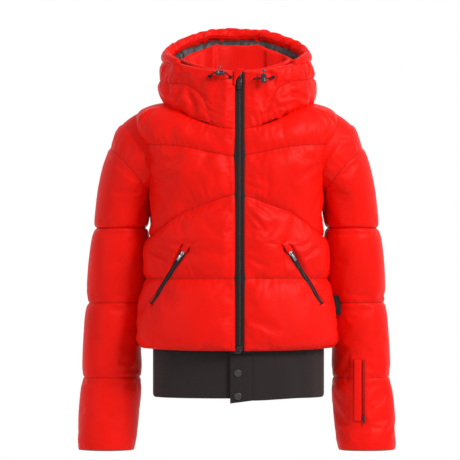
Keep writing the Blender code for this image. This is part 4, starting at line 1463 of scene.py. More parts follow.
    def brim(self) -> None:
        """Makes the gathered, padded roll along the hood's rim."""
        count, around = 250, 34
        path, outward, up = self._rim(count, self.brim_start)
        run = travelled(path, 0)[:, None]
        taper = 0.14 + 0.86 * np.clip(np.sin(run / run[-1] * math.pi), 0, 1) ** 0.25
        x = np.abs(path[:, :1])
        scoop = np.exp(-((x - 0.048) / 0.021) ** 2)
        high = (self.brim_radius + 0.0016 * np.exp(-(x / 0.018) ** 2) - 0.0022 * scoop) * taper
        lift = 0.0030 + 0.0036 * scoop + 0.0012 * np.exp(-(x / 0.030) ** 2) - 0.0060 * (1 - taper)
        turn = np.linspace(0, TAU, around + 1)[None, :]
        inside = 0.5 - 0.5 * np.cos(turn)
        ripple, fine, slow = Ripple(81, 0.024, lean=0.9), Ripple(82, 0.011, lean=0.6), Ripple(83, 0.07)
        skew = run + 0.012 * np.sin(turn + 0.8)
        fold = (0.0019 * ripple.at(skew, 0) + 0.0006 * fine.at(skew, 0)) * (0.04 + 0.96 * inside)
        fold = (fold + 0.0004 * slow.at(run, 0)) * taper
        points = (path[:, None, :] + (lift + np.sin(turn) * (high + fold))[..., None] * up[:, None, :]
                  + (np.cos(turn) * (self.brim_depth * taper + fold))[..., None] * outward[:, None, :])
        seam_gap = np.abs(((turn - 4.5 + math.pi) % TAU) - math.pi) * high
        inner_gap = np.abs(((turn - 3.5 + math.pi) % TAU) - math.pi) * high
        pins = np.where((seam_gap < 0.002) | (inner_gap < 0.002) | (inside < 0.35), 1.0, 0.0)
        pins[:3], pins[-3:] = 1.0, 1.0
        cloth = Cloth(points, np.minimum(seam_gap, inner_gap), run, pins, closed=True)
        obj = cloth.make("hood_brim_roll", RED, path.mean(axis=0))
        with editing(obj) as bm:
            bmesh.ops.holes_fill(bm, edges=[e for e in bm.edges if e.is_boundary], sides=0)
            bmesh.ops.recalc_face_normals(bm, faces=bm.faces)
        SEWING.take(obj, pressure=1.0, growth=0.05, cap=0.003)
        PIECES.add(obj, ("hood_brim",), self._finish)

    def lining(self) -> None:
        """Makes the dark lining that hangs inside the hood."""
        share = np.linspace(0.985, 0.22, 34)[:, None]
        angle = np.radians(np.linspace(44, 316, 150))[None, :]
        points = COWL.point(angle, share + 0 * angle)
        cloth = Cloth(points, run=travelled(points))
        cloth.push(-self.lining_depth - 0.0025 * Ripple(91, 0.034, lean=0.8).at(cloth.run, share * 0.2), self.centre)
        obj = cloth.make("hood_taffeta_lining", LINING, self.centre)
        thicken(obj, 0.0008)
        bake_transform(obj)
        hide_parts("hood_lining")

    def _finish(self, obj: bpy.types.Object, nodes: tuple) -> None:
        """Ends a hood piece.

        Args:
            obj: the piece.
            nodes: the nodes that it stands for.
        """
        if "hood_crown" in nodes:
            self._turn_in_rim(obj)
        subdivide(obj)
        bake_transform(obj)
        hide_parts(*nodes)

    @staticmethod
    def _turn_in_rim(obj: bpy.types.Object) -> None:
        """Turns the shell's upper edge in and down, behind the front."""
        turned_in = set()
        with editing(obj) as bm:
            edges = []
            for edge in (e for e in bm.edges if e.is_boundary and all(v.co.z > 0.045 for v in e.verts)):
                step = edge.verts[1].co - edge.verts[0].co
                if step.xy.length > 0.5 * abs(step.z):
                    edges.append(edge)
            for strip, (inwards, upwards) in enumerate(((0.004, -0.001), (0.003, -0.006), (0.003, -0.020))):
                made = bmesh.ops.extrude_edge_only(bm, edges=edges)["geom"]
                for vert in (item for item in made if isinstance(item, bmesh.types.BMVert)):
                    vert.co += Vector((-vert.co.x, -vert.co.y, 0)).normalized() * inwards + Vector((0, 0, upwards))
                    turned_in.add(vert)
                for face in {f for v in turned_in for f in v.link_faces if strip}:
                    face.material_index = 1
                edges = [item for item in made if isinstance(item, bmesh.types.BMEdge)
                         and all(v in turned_in for v in item.verts)]

    def build(self) -> None:
        """Makes all hood pieces."""
        self.shell()
        self.brim()
        self.lining()


@dataclass
class InnerCollar:
    """The padded stand collar inside the hood."""

    wall: float = 0.010
    columns: int = 170
    rows_up: int = 26

    def build(self) -> None:
        """Makes the collar as one closed padded wall."""
        gap = FRONT.opening / 2 + 0.001
        outer = np.linspace(0, 1, self.rows_up)
        share = np.concatenate((outer, [1.0, 1.0, 1.0], outer[::-1]))[:, None]
        depth = np.concatenate((np.zeros(self.rows_up), [0.25, 0.5, 0.75], np.ones(self.rows_up))) * self.wall
        lift = np.concatenate((np.zeros(self.rows_up), [0.003, 0.0042, 0.003], np.zeros(self.rows_up)))
        start = COLLAR.edge_angle(share, FRONT.x + gap)
        end = TAU + COLLAR.edge_angle(share, FRONT.x - gap)
        u = np.linspace(0, 1, self.columns)[None, :]
        points = COLLAR.point(start + (end - start) * u, share + 0 * u)
        centre = np.array([0.0, -0.02, 0.04])
        normal = Cloth(points[:self.rows_up]).normals(centre)
        rows = np.concatenate((normal, np.repeat(normal[-1:], 3, axis=0), normal[::-1]))
        run = travelled(points)
        inner = (np.arange(len(points)) >= self.rows_up + 3)[:, None]
        swell = 0.0022 * np.sin(share * math.pi) * np.where(inner, 1.0, 0.5)
        swell = swell + 0.0013 * Ripple(61, 0.07, lean=0.6).at(run, share * 0.09) * rise(share, 0.1, 0.5)
        swell = np.where(inner, -swell - self._creases(points), swell)
        points = points + rows * (swell - depth[:, None])[..., None]
        points[..., 2] += lift[:, None]
        x = np.abs(points[..., 0])
        flat_top = 0.0020 + 0.0045 * np.exp(-((x - 0.042) / 0.014) ** 2)
        points[..., 2] += flat_top * rise(share, 0.3, 1.0) * rise(points[..., 1], 0.0, 0.03)
        top_gap = np.abs(share - 1) * 0.09 + np.abs(depth / self.wall - 0.5)[:, None] * 0.012
        obj = Cloth(points, top_gap + 0.004, run).make("collar_padded", RED, centre)
        with editing(obj) as bm:
            bmesh.ops.recalc_face_normals(bm, faces=bm.faces)
        subdivide(obj)
        settle(obj, "torso", "shell_fabric", "inner_collar")

    @staticmethod
    def _creases(points: Array) -> Array:
        """Soft folds of the inner face where its sides fall forward.

        Args:
            points: places on the collar.

        Returns:
            How far each place stands inwards.
        """
        x, y = points[..., 0], points[..., 1]
        behind = rise(y, -0.02, 0.03)
        left = rise(-x, 0.042, 0.046) * (1 - rise(-x, 0.050, 0.085)) * behind
        right = rise(x, 0.058, 0.064) * (1 - rise(x, 0.070, 0.098)) * behind
        up = rise(points[..., 2], 0.02, 0.07)
        return (0.0060 * left + 0.0045 * right) * up


# ---- waistband ----------------------------------------------------------------------------
@dataclass
class Waistband:
    """Smooth stretch band with its snapped overlap."""

    half: float = 0.163
    depth: float = 0.102
    top: float = -0.455
    bottom: float = -0.570
    wall: float = 0.0028
    lap: float = 0.0076
    edge_x: float = -0.0125
    hinge_x: float = 0.030
    reach: float = 0.020
    flap_top: float = -0.4845
    drop: float = 0.0055
    bow: float = 0.0038
    corner: float = 0.0065
    margin: float = 0.0002

    def point(self, angle: Array, z: Array, step: float) -> Array:
        """Places on the band."""
        x = (self.half + step) * spow(np.sin(angle), POWER)
        y = -(self.depth + step) * spow(np.cos(angle), POWER)
        return places(x, y, z)

    def angle(self, x: float, step: float) -> float:
        """Angle at which the band has an x."""
        return math.copysign(math.asin((abs(x) / (self.half + step)) ** (1 / POWER)), x)

    def _piece(self, name: str, node: str, start: float, end: float, step: float, top: float) -> None:
        """Makes one stretch of the band.

        Args:
            name: the piece's name.
            node: the node that it stands for.
            start: first angle.
            end: last angle.
            step: how far in front of the underlap it lies.
            top: its upper edge.
        """
        flap = node == "placket_flap"
        columns = max(8, int(abs(end - start) * 0.14 / 0.004))
        angle, v = np.linspace(start, end, columns)[None, :], np.linspace(0, 1, 26)[:, None]
        x = self.point(angle, 0 * angle, step)[..., 0]
        low = self.bottom + rounding(self.half + step - np.abs(x), self.corner)
        if step > 0:
            low = low - self.bow * (1 - rise(x, self.hinge_x, 0.125))
        if flap:
            low = low - self.drop * np.clip((self.hinge_x - x) / (self.hinge_x - self.edge_x), 0, 1)
        z = low + (top - low) * v
        sag = 0.0007 * Ripple(101, 0.08, lean=0.3).at(angle * 0.15, v * 0.1)
        run, gap = np.abs(angle - start) * 0.14, z - low
        if flap:
            gap = np.minimum(gap, np.abs(angle - start) * 0.15)
            sag = sag * rise(run, 0.0, 0.02)
        sag = sag * rise(np.minimum(np.abs(angle - start), np.abs(angle - end)), 0.0, 0.10)
        centre = np.array([0.0, 0.0, (top + self.bottom) / 2])
        cloth = Cloth(self.point(angle, z, step), gap, run)
        cloth.push(sag, centre)
        self._settle(cloth, name, centre, 0.0006, "placket" if flap else "torso", node)

    def _settle(self, cloth: Cloth, name: str, centre: Array, bevel: float, body: str, *nodes: str) -> None:
        """Makes a knit piece of its cloth.

        Args:
            cloth: the cloth.
            name: the piece's name.
            centre: a place inside.
            bevel: rounding of its edges.
            body: the body that it rides on.
            nodes: the nodes that it stands for.
        """
        obj = cloth.make(name, KNIT, centre)
        thicken(obj, self.wall, bevel=bevel)
        settle(obj, body, "waistband_knit", *nodes)

    def build(self) -> None:
        """Makes the band's four stretches and the stay above the flap."""
        side, m = math.pi / 2, self.margin
        free, hinge = self.angle(self.edge_x, self.lap), self.angle(self.hinge_x, self.lap)
        under = self.angle(self.hinge_x + self.reach, 0.0)
        self._piece("band_right_front", "waistband_right_front", -side, under, 0.0, self.top)
        self._piece("band_left_front", "waistband_left_front", hinge + m, side, self.lap, self.top)
        self._piece("band_back", "waistband_back", side, 3 * side, 0.0, self.top)
        self._stay(free, hinge)
        self._piece("band_flap", "placket_flap", free, hinge - m, self.lap, self.flap_top)
        self._side_join()

    def _stay(self, free: float, hinge: float) -> None:
        """Makes the short fixed stretch above the flap.

        Args:
            free: angle of its free end.
            hinge: angle of its fold line.
        """
        low, top = self.flap_top + 0.0006, self.top
        angle, v = np.linspace(free, hinge, 20)[None, :], np.linspace(0, 1, 8)[:, None]
        cloth = Cloth(self.point(angle, low + (top - low) * v, self.lap), run=np.abs(angle - free) * 0.14)
        self._settle(cloth, "band_stay", np.array([0.0, 0.0, low]), 0.0, "torso", "placket_stay")

    def _side_join(self) -> None:
        """Closes the step between the two fronts at the wearer's left side seam."""
        rows = np.linspace(self.bottom + self.corner, self.top, 12)[:, None]
        share = np.linspace(0, 1, 5)[None, :]
        near = self.point(np.full((1, 1), math.pi / 2 - 0.02), rows, self.lap)
        far = self.point(np.full((1, 1), math.pi / 2 + 0.03), rows, 0.0)
        cloth = Cloth(near + (far - near) * share[..., None], run=rows)
        self._settle(cloth, "band_side_tuck", np.array([0.0, 0.0, self.top]), 0.0, "torso")


# ---- small fittings -----------------------------------------------------------------------
def block(size: Sequence[float], matrix: Matrix, bevel: float, segments: int = 2) -> bmesh.types.BMesh:
    """A box with rounded edges.

    Args:
        size: its sides.
        matrix: its centre and axes.
        bevel: radius of its edges.
        segments: steps of the rounding.

    Returns:
        The mesh.
    """
    bm = bmesh.new()
    bmesh.ops.create_cube(bm, size=1.0)
    bmesh.ops.scale(bm, vec=size, verts=bm.verts)
    bmesh.ops.bevel(bm, geom=bm.edges, offset=bevel, segments=segments, profile=0.5, affect="EDGES", material=-1)
    bmesh.ops.transform(bm, matrix=matrix, verts=bm.verts)
    return bm


def turned(profile: Sequence[tuple], matrix: Matrix, steps: int = 40) -> bmesh.types.BMesh:
    """A solid of revolution.

    Args:
        profile: radius and height of each point, from axis to axis.
        matrix: where its Z axis goes.
        steps: steps of the spin.

    Returns:
        The mesh.
    """
    bm = bmesh.new()
    verts = [bm.verts.new((radius, 0.0, z)) for radius, z in profile]
    edges = [bm.edges.new(pair) for pair in zip(verts, verts[1:])]
    bmesh.ops.spin(bm, geom=verts + edges, cent=(0, 0, 0), axis=(0, 0, 1), angle=TAU, steps=steps, use_merge=True)
    bmesh.ops.remove_doubles(bm, verts=bm.verts, dist=0.00001)
    bmesh.ops.recalc_face_normals(bm, faces=bm.faces)
    bmesh.ops.transform(bm, matrix=matrix, verts=bm.verts)
    return bm


def joined(parts: Sequence[bmesh.types.BMesh]) -> bmesh.types.BMesh:
    """Puts several meshes into one.

    Args:
        parts: the meshes; they are freed.

    Returns:
        One mesh.
    """
    whole = bmesh.new()
    for part in parts:
        carrier = bpy.data.meshes.new("part")
        part.to_mesh(carrier)
        part.free()
        whole.from_mesh(carrier)
        bpy.data.meshes.remove(carrier)
    return whole


def repeated(part: bmesh.types.BMesh, places_of: Sequence[Matrix]) -> bmesh.types.BMesh:
    """One mesh with a copy of a part at each place.

    Args:
        part: the part; it is freed.
        places_of: where the copies go.

    Returns:
        The mesh.
    """
    carrier = bpy.data.meshes.new("part")
    part.to_mesh(carrier)
    part.free()
    whole = bmesh.new()
    for matrix in places_of:
        before = len(whole.verts)
        whole.from_mesh(carrier)
        whole.verts.ensure_lookup_table()
        bmesh.ops.transform(whole, matrix=matrix, verts=whole.verts[before:])
    bpy.data.meshes.remove(carrier)
    return whole


def swept(points: Sequence, radius: float, around: int = 10, smooth: int = 6) -> bmesh.types.BMesh:
    """A round tube along a smooth line through the points.

    Args:
        points: places that it passes.
        radius: its radius.
        around: sides of its section.
        smooth: steps between two places.

    Returns:
        The mesh, with closed ends.
    """
    t = np.linspace(0, len(points) - 1, (len(points) - 1) * smooth + 1)
    line = np.stack([track([p[k] for p in points], t) for k in range(3)], axis=-1)
    way = np.gradient(line, axis=0)
    bm = bmesh.new()
    rings = []
    up = Vector((0.13, 0.21, 0.97))
    for place, along in zip(line, way):
        turn = Vector(along).normalized()
        first = turn.cross(up).normalized()
        matrix = Matrix((first, turn.cross(first), turn)).transposed().to_4x4()
        matrix.translation = Vector(place)
        made = bmesh.ops.create_circle(bm, cap_ends=False, segments=around, radius=radius, matrix=matrix)
        verts = made["verts"]
        rings.append([e for e in {e for v in verts for e in v.link_edges} if all(w in verts for w in e.verts)])
    for low, high in zip(rings, rings[1:]):
        bmesh.ops.bridge_loops(bm, edges=low + high)
    bmesh.ops.holes_fill(bm, edges=[e for e in bm.edges if e.is_boundary], sides=0)
    bmesh.ops.recalc_face_normals(bm, faces=bm.faces)
    return bm


def middle(node: str) -> Vector:
    """Centre of a node's box."""
    low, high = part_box(node)
    return (low + high) / 2


def fitted(name: str, bm: bmesh.types.BMesh, finish: object, body: str, slot: str, *nodes: str) -> None:
    """Makes a rigid fitting and hangs it on its body.

    Args:
        name: the piece's name.
        bm: its mesh.
        finish: its finish.
        body: the body that it rides on.
        slot: the material slot; it is not used.
        nodes: nodes that it stands for.
    """
    obj = to_object(name, bm, finish)
    obj.data.set_sharp_from_angle(angle=math.radians(50))
    settle(obj, body, slot, *nodes)


@dataclass
class Snaps:
    """Three capped snaps on the band's overlap."""

    radius: float = 0.0072
    shank: float = 0.0022
    dome: float = 0.0022

    def build(self) -> None:
        """Makes the caps; the studs keep their own shape."""
        for index in (1, 2, 3):
            low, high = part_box(f"snap_cap_{index}")
            place = ((low.x + high.x) / 2, low.y + self.dome, (low.z + high.z) / 2)
            matrix = Matrix.Translation(place) @ Matrix.Rotation(math.pi / 2, 4, "X")
            r = self.radius
            profile = ((0.0, 0.00185), (0.0030, 0.00185), (0.0046, 0.0020), (0.0052, 0.0022), (0.0062, 0.0021),
                       (0.0069, 0.0016), (r, 0.0010), (r, 0.0005), (r - 0.0004, 0.0003), (self.shank, 0.0003),
                       (self.shank, -0.0031), (0.0052, -0.0031), (0.0052, -0.0045), (0.0, -0.0045))
            body = "torso" if index == 1 else "placket"
            fitted(f"snap_dome_{index}", turned(profile, matrix), ENAMEL, body, "snap_enamel",
                   f"snap_cap_{index}")
            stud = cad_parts[f"snap_stud_{index}"].data
            stud.materials.clear()
            stud.materials.append(dressed(STUD))


@dataclass
class PullShape:
    """A slider and its pull, in the axes of their zip."""

    name: str
    nodes: tuple  # the slider's node and the pull's
    bodies: tuple  # the bodies that they ride on
    axes: Matrix  # X across, Y outwards, Z the way the pull hangs
    metal: CastMetal

    def _measure(self, node: str) -> tuple:
        """Centre of a node, and its size in the zip's axes."""
        turn = self.axes.to_3x3()
        corners = np.array([turn.inverted() @ v.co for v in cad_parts[node].data.vertices])
        low, high = Vector(corners.min(axis=0)), Vector(corners.max(axis=0))
        return turn @ ((low + high) / 2), high - low

    def _at(self, place: Vector, down: float, out: float = 0.0) -> Matrix:
        """The zip's axes moved to a place."""
        return Matrix.Translation(place) @ self.axes.to_3x3().to_4x4() @ Matrix.Translation((0.0, out, down))

    def build(self) -> None:
        """Makes the slider with its nose and bridge, and the shaped pull."""
        place, (w, t, h) = self._measure(self.nodes[0])
        top = block((w, t, h * 0.62), self._at(place, -h * 0.17), min(w, h) * 0.16, 3)
        tail = block((w * 0.72, t * 0.9, h * 0.5), self._at(place, h * 0.22), w * 0.12, 3)
        reach = h * 0.34
        bridge = swept([self.axes.to_3x3() @ Vector(p) + place for p in (
            (0, t * 0.2, -reach), (0, t * 0.75, -reach * 0.75), (0, t * 0.80, 0), (0, t * 0.75, reach * 0.75),
            (0, t * 0.2, reach))], w * 0.10, 8, 4)
        fitted(f"{self.name}_slider_body", joined([top, tail, bridge]), self.metal, self.bodies[0], "zip_metal",
               self.nodes[0])
        place, (w, t, h) = self._measure(self.nodes[1])
        stem = block((w * 0.46, t * 0.8, h * 0.24), self._at(place, -h * 0.37), t * 0.25)
        plate = block((w, t, h * 0.66), self._at(place, h * 0.17), t * 0.42, 3)
        inset = block((w * 0.62, t * 0.3, h * 0.44), self._at(place, h * 0.17, t * 0.45), t * 0.12)
        collar = block((w * 0.8, t, h * 0.05), self._at(place, -h * 0.19), t * 0.2)
        fitted(f"{self.name}_pull_tab", joined([stem, plate, inset, collar]), self.metal, self.bodies[1],
               "zip_metal", self.nodes[1])


@dataclass
class MainZip:
    """The full front zip with moulded teeth."""

    recess: float = 0.004
    pitch: float = 0.0031
    tape_half: float = 0.0125
    seam: float = 0.0002  # between the two tapes

    def axes(self) -> Matrix:
        """Axes of the zip: X across, Y outwards, Z up it."""
        along = Vector((0.0, FRONT.top_y - FRONT.bottom_y, FRONT.top_z - FRONT.hem_z)).normalized()
        outward = Vector((0.0, -along.z, along.y))
        return Matrix((outward.cross(along), outward, along)).transposed().to_4x4()

    def at(self, z: float, x: float = 0.0, out: float = 0.0, up: float = 0.0) -> Matrix:
        """The zip's axes at a height."""
        matrix = self.axes()
        matrix.translation = (FRONT.x, FRONT.y(z), z)
        return matrix @ Matrix.Translation((x, out, up))

    def tapes(self) -> None:
        """Makes both tapes, each with its corded edge."""
        low, high = FRONT.hem_z + 0.006, FRONT.top_z - 0.001
        z, length = (low + high) / 2, high - low
        inner, outer = self.seam / 2, self.tape_half
        for s, word in ((1, "right"), (-1, "left")):
            flat = block((outer - inner, 0.0009, length), self.at(z, s * (inner + outer) / 2, -self.recess), 0.0003, 1)
            ridge = [block((0.0010, 0.0014, length), self.at(z, s * x, -self.recess + 0.0002), 0.0004, 2)
                     for x in (0.0036, 0.0052)]
            fitted(f"zip_tape_{word}", joined([flat, *ridge]), TAPE, "torso", "zip_tape", f"main_zip_tape_{word}")

    def teeth(self) -> None:
        """Makes the two rows of interlocking teeth."""
        tooth = block((0.0034, 0.0017, self.pitch * 0.52), Matrix.Identity(4), 0.00045, 1)
        low, high = FRONT.hem_z + 0.012, FRONT.top_z - 0.012
        rows = [self.at(low + k * self.pitch / 2, 0.0009 if k % 2 else -0.0009, -self.recess + 0.0004)
                for k in range(int((high - low) / (self.pitch / 2)))]
        fitted("zip_teeth", repeated(tooth, rows), TOOTH, "torso", "zip_tape", "main_zip_chain")

    def retainer(self) -> None:
        """Makes the box and pin at the zip's lower end."""
        matrix = Matrix.Translation(middle("main_zip_box")) @ self.axes()
        box = block((0.0105, 0.0036, 0.0095), matrix, 0.0010, 3)
        lip = block((0.0115, 0.0030, 0.0022), matrix @ Matrix.Translation((0, 0, -0.0036)), 0.0007, 2)
        pin = block((0.0022, 0.0044, 0.0075), matrix @ Matrix.Translation((0.0012, 0.0002, 0.0010)), 0.0006, 2)
        fitted("zip_retainer", joined([box, lip, pin]), GUNMETAL, "torso", "zip_metal", "main_zip_box")

    def garage(self) -> None:
        """Makes the cloth flap that half covers the slider at the zip's top."""
        v, u = np.linspace(0, 1, 26)[:, None], np.linspace(0, 1, 20)[None, :]
        top, bottom = 0.0640, 0.0330
        z = bottom + (top - bottom) * v
        left = FRONT.x - 0.0125
        right = FRONT.x - 0.0072 + 0.0150 * rise(v, 0.12, 1.0) ** 1.15
        out = 0.0010 + 0.0026 * np.sin(u * math.pi * 0.85) ** 0.8 + 0.001 * v
        out = out - 0.0045 * (u < 0.02) - 0.0016 * (u > 0.98)
        cloth = Cloth(places(left + (right - left) * u, FRONT.y(z) - out, z), (1 - u) * 0.014 + 0.001, z)
        obj = cloth.make("zip_garage_flap", RED, np.array([FRONT.x, 0.0, 0.05]))
        thicken(obj, 0.0016)
        subdivide(obj)
        settle(obj, "torso", "shell_fabric")

    def build(self) -> None:
        """Makes the whole zip."""
        self.tapes()
        self.teeth()
        self.retainer()
        self.garage()
        down = self.axes() @ Matrix.Rotation(math.pi, 4, "Y")
        PullShape("main_zip_slider", ("main_zip_slider", "main_zip_pull"), ("main_slider", "main_pull"),
                  down, GUNMETAL).build()


@dataclass
class HandPocket:
    """A slanted hand-pocket zip with its cloth garage."""

    side: Side
    face: float = -0.0025
    pitch: float = 0.0014

    def build(self) -> None:
        """Makes tape, coil, slider, pull and garage."""
        word = self.side.word
        slit = PocketSlit(self.side)
        axes, length = slit.axes(), slit.length()
        tape = block((0.0128, 0.0010, length + 0.004), axes @ Matrix.Translation((0, self.face, 0)), 0.0003, 1)
        rungs = [axes @ Matrix.Translation((0, self.face + 0.0006, -length / 2 + 0.002 + k * self.pitch))
                 for k in range(int((length - 0.004) / self.pitch))]
        coil = repeated(block((0.0042, 0.0014, 0.0009), Matrix.Identity(4), 0.0003, 1), rungs)
        fitted(f"pocket_tape_{word}", tape, TAPE, "torso", "zip_tape", f"pocket_zip_{word}")
        fitted(f"pocket_coil_{word}", coil, TOOTH, "torso", "zip_tape")
        PullShape(f"pocket_{word}", (f"pocket_{word}_slider", f"pocket_{word}_pull"),
                  (f"pocket_slider_{word}", f"pocket_pull_{word}"), axes, SILVER).build()
        self._garage(axes, length)
        self._lips(slit, axes, length)

    def _garage(self, axes: Matrix, length: float) -> None:
        """The folded cloth end above the slider.

        Args:
            axes: the slit's axes.
            length: the slit's length.
        """
        v, u = np.linspace(0, 1, 14)[:, None], np.linspace(-1, 1, 14)[None, :]
        down = -length / 2 - 0.017 + 0.022 * v
        half = 0.0072 + 0.0004 * v
        swell = 0.0030 * np.sqrt(np.maximum(0.0, 1 - u**2)) * (0.35 + 0.65 * rise(v, 0.0, 0.3)) + 0.0012
        local = places(u * half, swell, down)
        turn = np.array(axes.to_3x3())
        points = local @ turn.T + np.array(axes.translation)
        cloth = Cloth(points, np.minimum((1 - np.abs(u)) * half, (1 - v) * 0.02), down)
        obj = cloth.make(f"pocket_garage_{self.side.word}", RED, np.array([0.0, 0.0, -0.3]))
        thicken(obj, 0.0030)
        subdivide(obj)
        settle(obj, "torso", "shell_fabric")

    def _lips(self, slit: PocketSlit, axes: Matrix, length: float) -> None:
        """The folded cloth edges along both sides of the slit.

        Args:
            slit: the slit.
            axes: its axes.
            length: its length.
        """
        lips = [swept([axes @ Vector((s * (float(slit.half(k / 8)) + 0.0011), -0.0026, length * (k / 8 - 0.5)))
                       for k in range(9)], 0.0014, 10, 4) for s in (-1, 1)]
        settle(to_object(f"pocket_lips_{self.side.word}", joined(lips), RED_PLAIN), "torso", "shell_fabric")


@dataclass
class PassPocket:
    """The welted pass pocket on the wearer's left forearm."""

    rows: int = 44
    columns: int = 12

    def build(self) -> None:
        """Makes the welt, its tape, slider and pull."""
        low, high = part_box("pass_welt")
        v, u = np.linspace(0, 1, self.rows)[:, None], np.linspace(-1, 1, self.columns)[None, :]
        half = (high.x - low.x) / 2
        x = (low.x + high.x) / 2 + u * half
        z = low.z + (high.z - low.z) * v
        end = np.minimum(v, 1 - v) * (high.z - low.z)
        swell = (high.y - low.y) * (1 - np.abs(u) ** 4) ** 0.5 * (0.3 + 0.7 * rise(end, 0.0, 0.004))
        wrinkle = 0.0004 * Ripple(121, 0.017).at(z, u * 0.01)
        y = high.y - 0.0004 - swell + wrinkle * (1 - np.abs(u))
        cloth = Cloth(places(x, y, z), np.minimum((1 - np.abs(u)) * half, end), z)
        obj = cloth.make("pass_pocket_welt", RED, np.array([0.24, 0.05, -0.55]))
        thicken(obj, 0.0012)
        subdivide(obj)
        settle(obj, "forearm_left", "shell_fabric", "pass_welt")
        low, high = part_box("pass_zip_tape")
        tape = block(high - low, Matrix.Translation((low + high) / 2), 0.0003, 1)
        fitted("pass_tape", tape, DEEP_TAPE, "forearm_left", "zip_tape", "pass_zip_tape")
        axes = Matrix(((-1, 0, 0), (0, -1, 0), (0, 0, 1))).transposed().to_4x4() @ Matrix.Rotation(math.pi, 4, "Y")
        PullShape("pass", ("pass_slider", "pass_pull"), ("pass_slider", "pass_pull"), axes, GUNMETAL).build()


@dataclass
class NeckFittings:
    """Cord locks, their cords and eyelets, and the hanger loop."""

    eyelet: float = 0.0034
    cord: float = 0.0013
    inside: float = 0.011  # half of the cord that lies straight in its lock

    def _lock(self, word: str, upright: bool) -> None:
        """Makes one spring lock.

        Args:
            word: "right" or "left".
            upright: whether its barrel stands.
        """
        low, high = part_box(f"cord_lock_{word}")
        centre = (low + high) / 2
        length = (high.z - low.z) if upright else (high.x - low.x)
        turn = Matrix.Identity(4) if upright else Matrix.Rotation(math.pi / 2, 4, "Y")
        r, h = 0.0054, length / 2
        profile = ((0.0, h), (r * 0.72, h), (r * 0.93, h - 0.0006), (r, h - 0.0016), (r, h * 0.45),
                   (r * 0.84, h * 0.36), (r * 0.84, -h * 0.30), (r, -h * 0.40), (r, -h + 0.0018),
                   (r * 0.9, -h + 0.0006), (r * 0.6, -h), (0.0, -h))
        barrel = turned(profile, Matrix.Translation(centre) @ turn, 28)
        fitted(f"lock_barrel_{word}", barrel, LOCK, f"cord_lock_{word}", "lock_plastic", f"cord_lock_{word}")
        low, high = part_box(f"cord_button_{word}")
        centre, h = (low + high) / 2, (high.z - low.z) / 2
        profile = ((0.0, h), (0.0020, h), (0.0028, h - 0.0004), (0.0032, h - 0.0012), (0.0032, -h), (0.0, -h))
        fitted(f"lock_button_{word}", turned(profile, Matrix.Translation(centre), 24), LOCK,
               f"cord_button_{word}", "lock_plastic", f"cord_button_{word}")

    def _cord(self, word: str, ends: tuple) -> None:
        """Makes one short cord and its two eyelets.

        Args:
            word: "right" or "left".
            ends: x and z of each eyelet.
        """
        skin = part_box(f"drawcord_{word}")[1].y
        x, y, z = middle(f"cord_lock_{word}")
        points = [(x, y, z)]
        for s, (end_x, end_z) in zip((-1, 1), ends):
            arm = [(x + s * self.inside, y, z), ((end_x + x + s * self.inside) / 2, y - 0.0005, (end_z + z) / 2),
                   (end_x - s * 0.0008, skin - 0.0045, end_z), (end_x, skin + 0.002, end_z)]
            points = points + arm if s > 0 else arm[::-1] + points
        fitted(f"lock_cord_{word}", swept(points, self.cord, 10, 6), CORD, "torso", "zip_tape", f"drawcord_{word}")
        r = self.eyelet
        profile = ((0.0, 0.0006), (r * 0.40, 0.0006), (r * 0.52, 0.0016), (r * 0.75, 0.0020), (r * 0.95, 0.0013),
                   (r, 0.0004), (r, -0.0035), (0.0, -0.0035))
        rings = [turned(profile, Matrix.Translation((x, skin, z)) @ Matrix.Rotation(math.pi / 2, 4, "X"), 24)
                 for x, z in ends]
        fitted(f"eyelets_{word}", joined(rings), LOCK, "torso", "lock_plastic")

    def _loop(self) -> None:
        """Makes the hanger loop as a woven tape."""
        low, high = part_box("hanger_loop")
        u, v = np.linspace(-1, 1, 40)[None, :], np.linspace(-1, 1, 6)[:, None]
        x = u * (high.x - low.x) / 2
        y = low.y + (high.y - low.y - 0.0012) * rise(np.abs(u), 0.56, 1.0)
        z = (low.z + high.z) / 2 + v * (high.z - low.z) / 2
        obj = Cloth(places(x, y, z), run=x).make("hanger_tape", TAPE, np.array([0.0, 1.0, 0.06]))
        thicken(obj, 0.0012, bevel=0.0003)
        settle(obj, "torso", "zip_tape", "hanger_loop")

    def _label(self) -> None:
        """Makes the folded ribbon in the side seam."""
        low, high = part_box("side_label")
        v, u = np.linspace(-1, 1, 20)[:, None], np.linspace(0, 1, 8)[None, :]
        x = low.x - 0.004 + (high.x - low.x + 0.0095) * u
        y = (low.y + high.y) / 2 + 0.0008 * np.sin(v * 3 + 1) * u
        z = (low.z + high.z) / 2 + v * (high.z - low.z) / 2
        obj = Cloth(places(x, y, z), run=z).make("side_ribbon", TAPE, np.array([0.2, 1.0, -0.4]))
        thicken(obj, 0.0013, offset=0.0, bevel=0.0003)
        settle(obj, "torso", "zip_tape", "side_label")

    def build(self) -> None:
        """Makes all neck fittings and the label."""
        self._lock("right", False)
        self._lock("left", True)
        self._cord("right", ((-0.052, 0.049), (-0.012, 0.047)))
        self._cord("left", ((0.032, 0.0435), (0.0705, 0.0475)))
        self._loop()
        self._label()


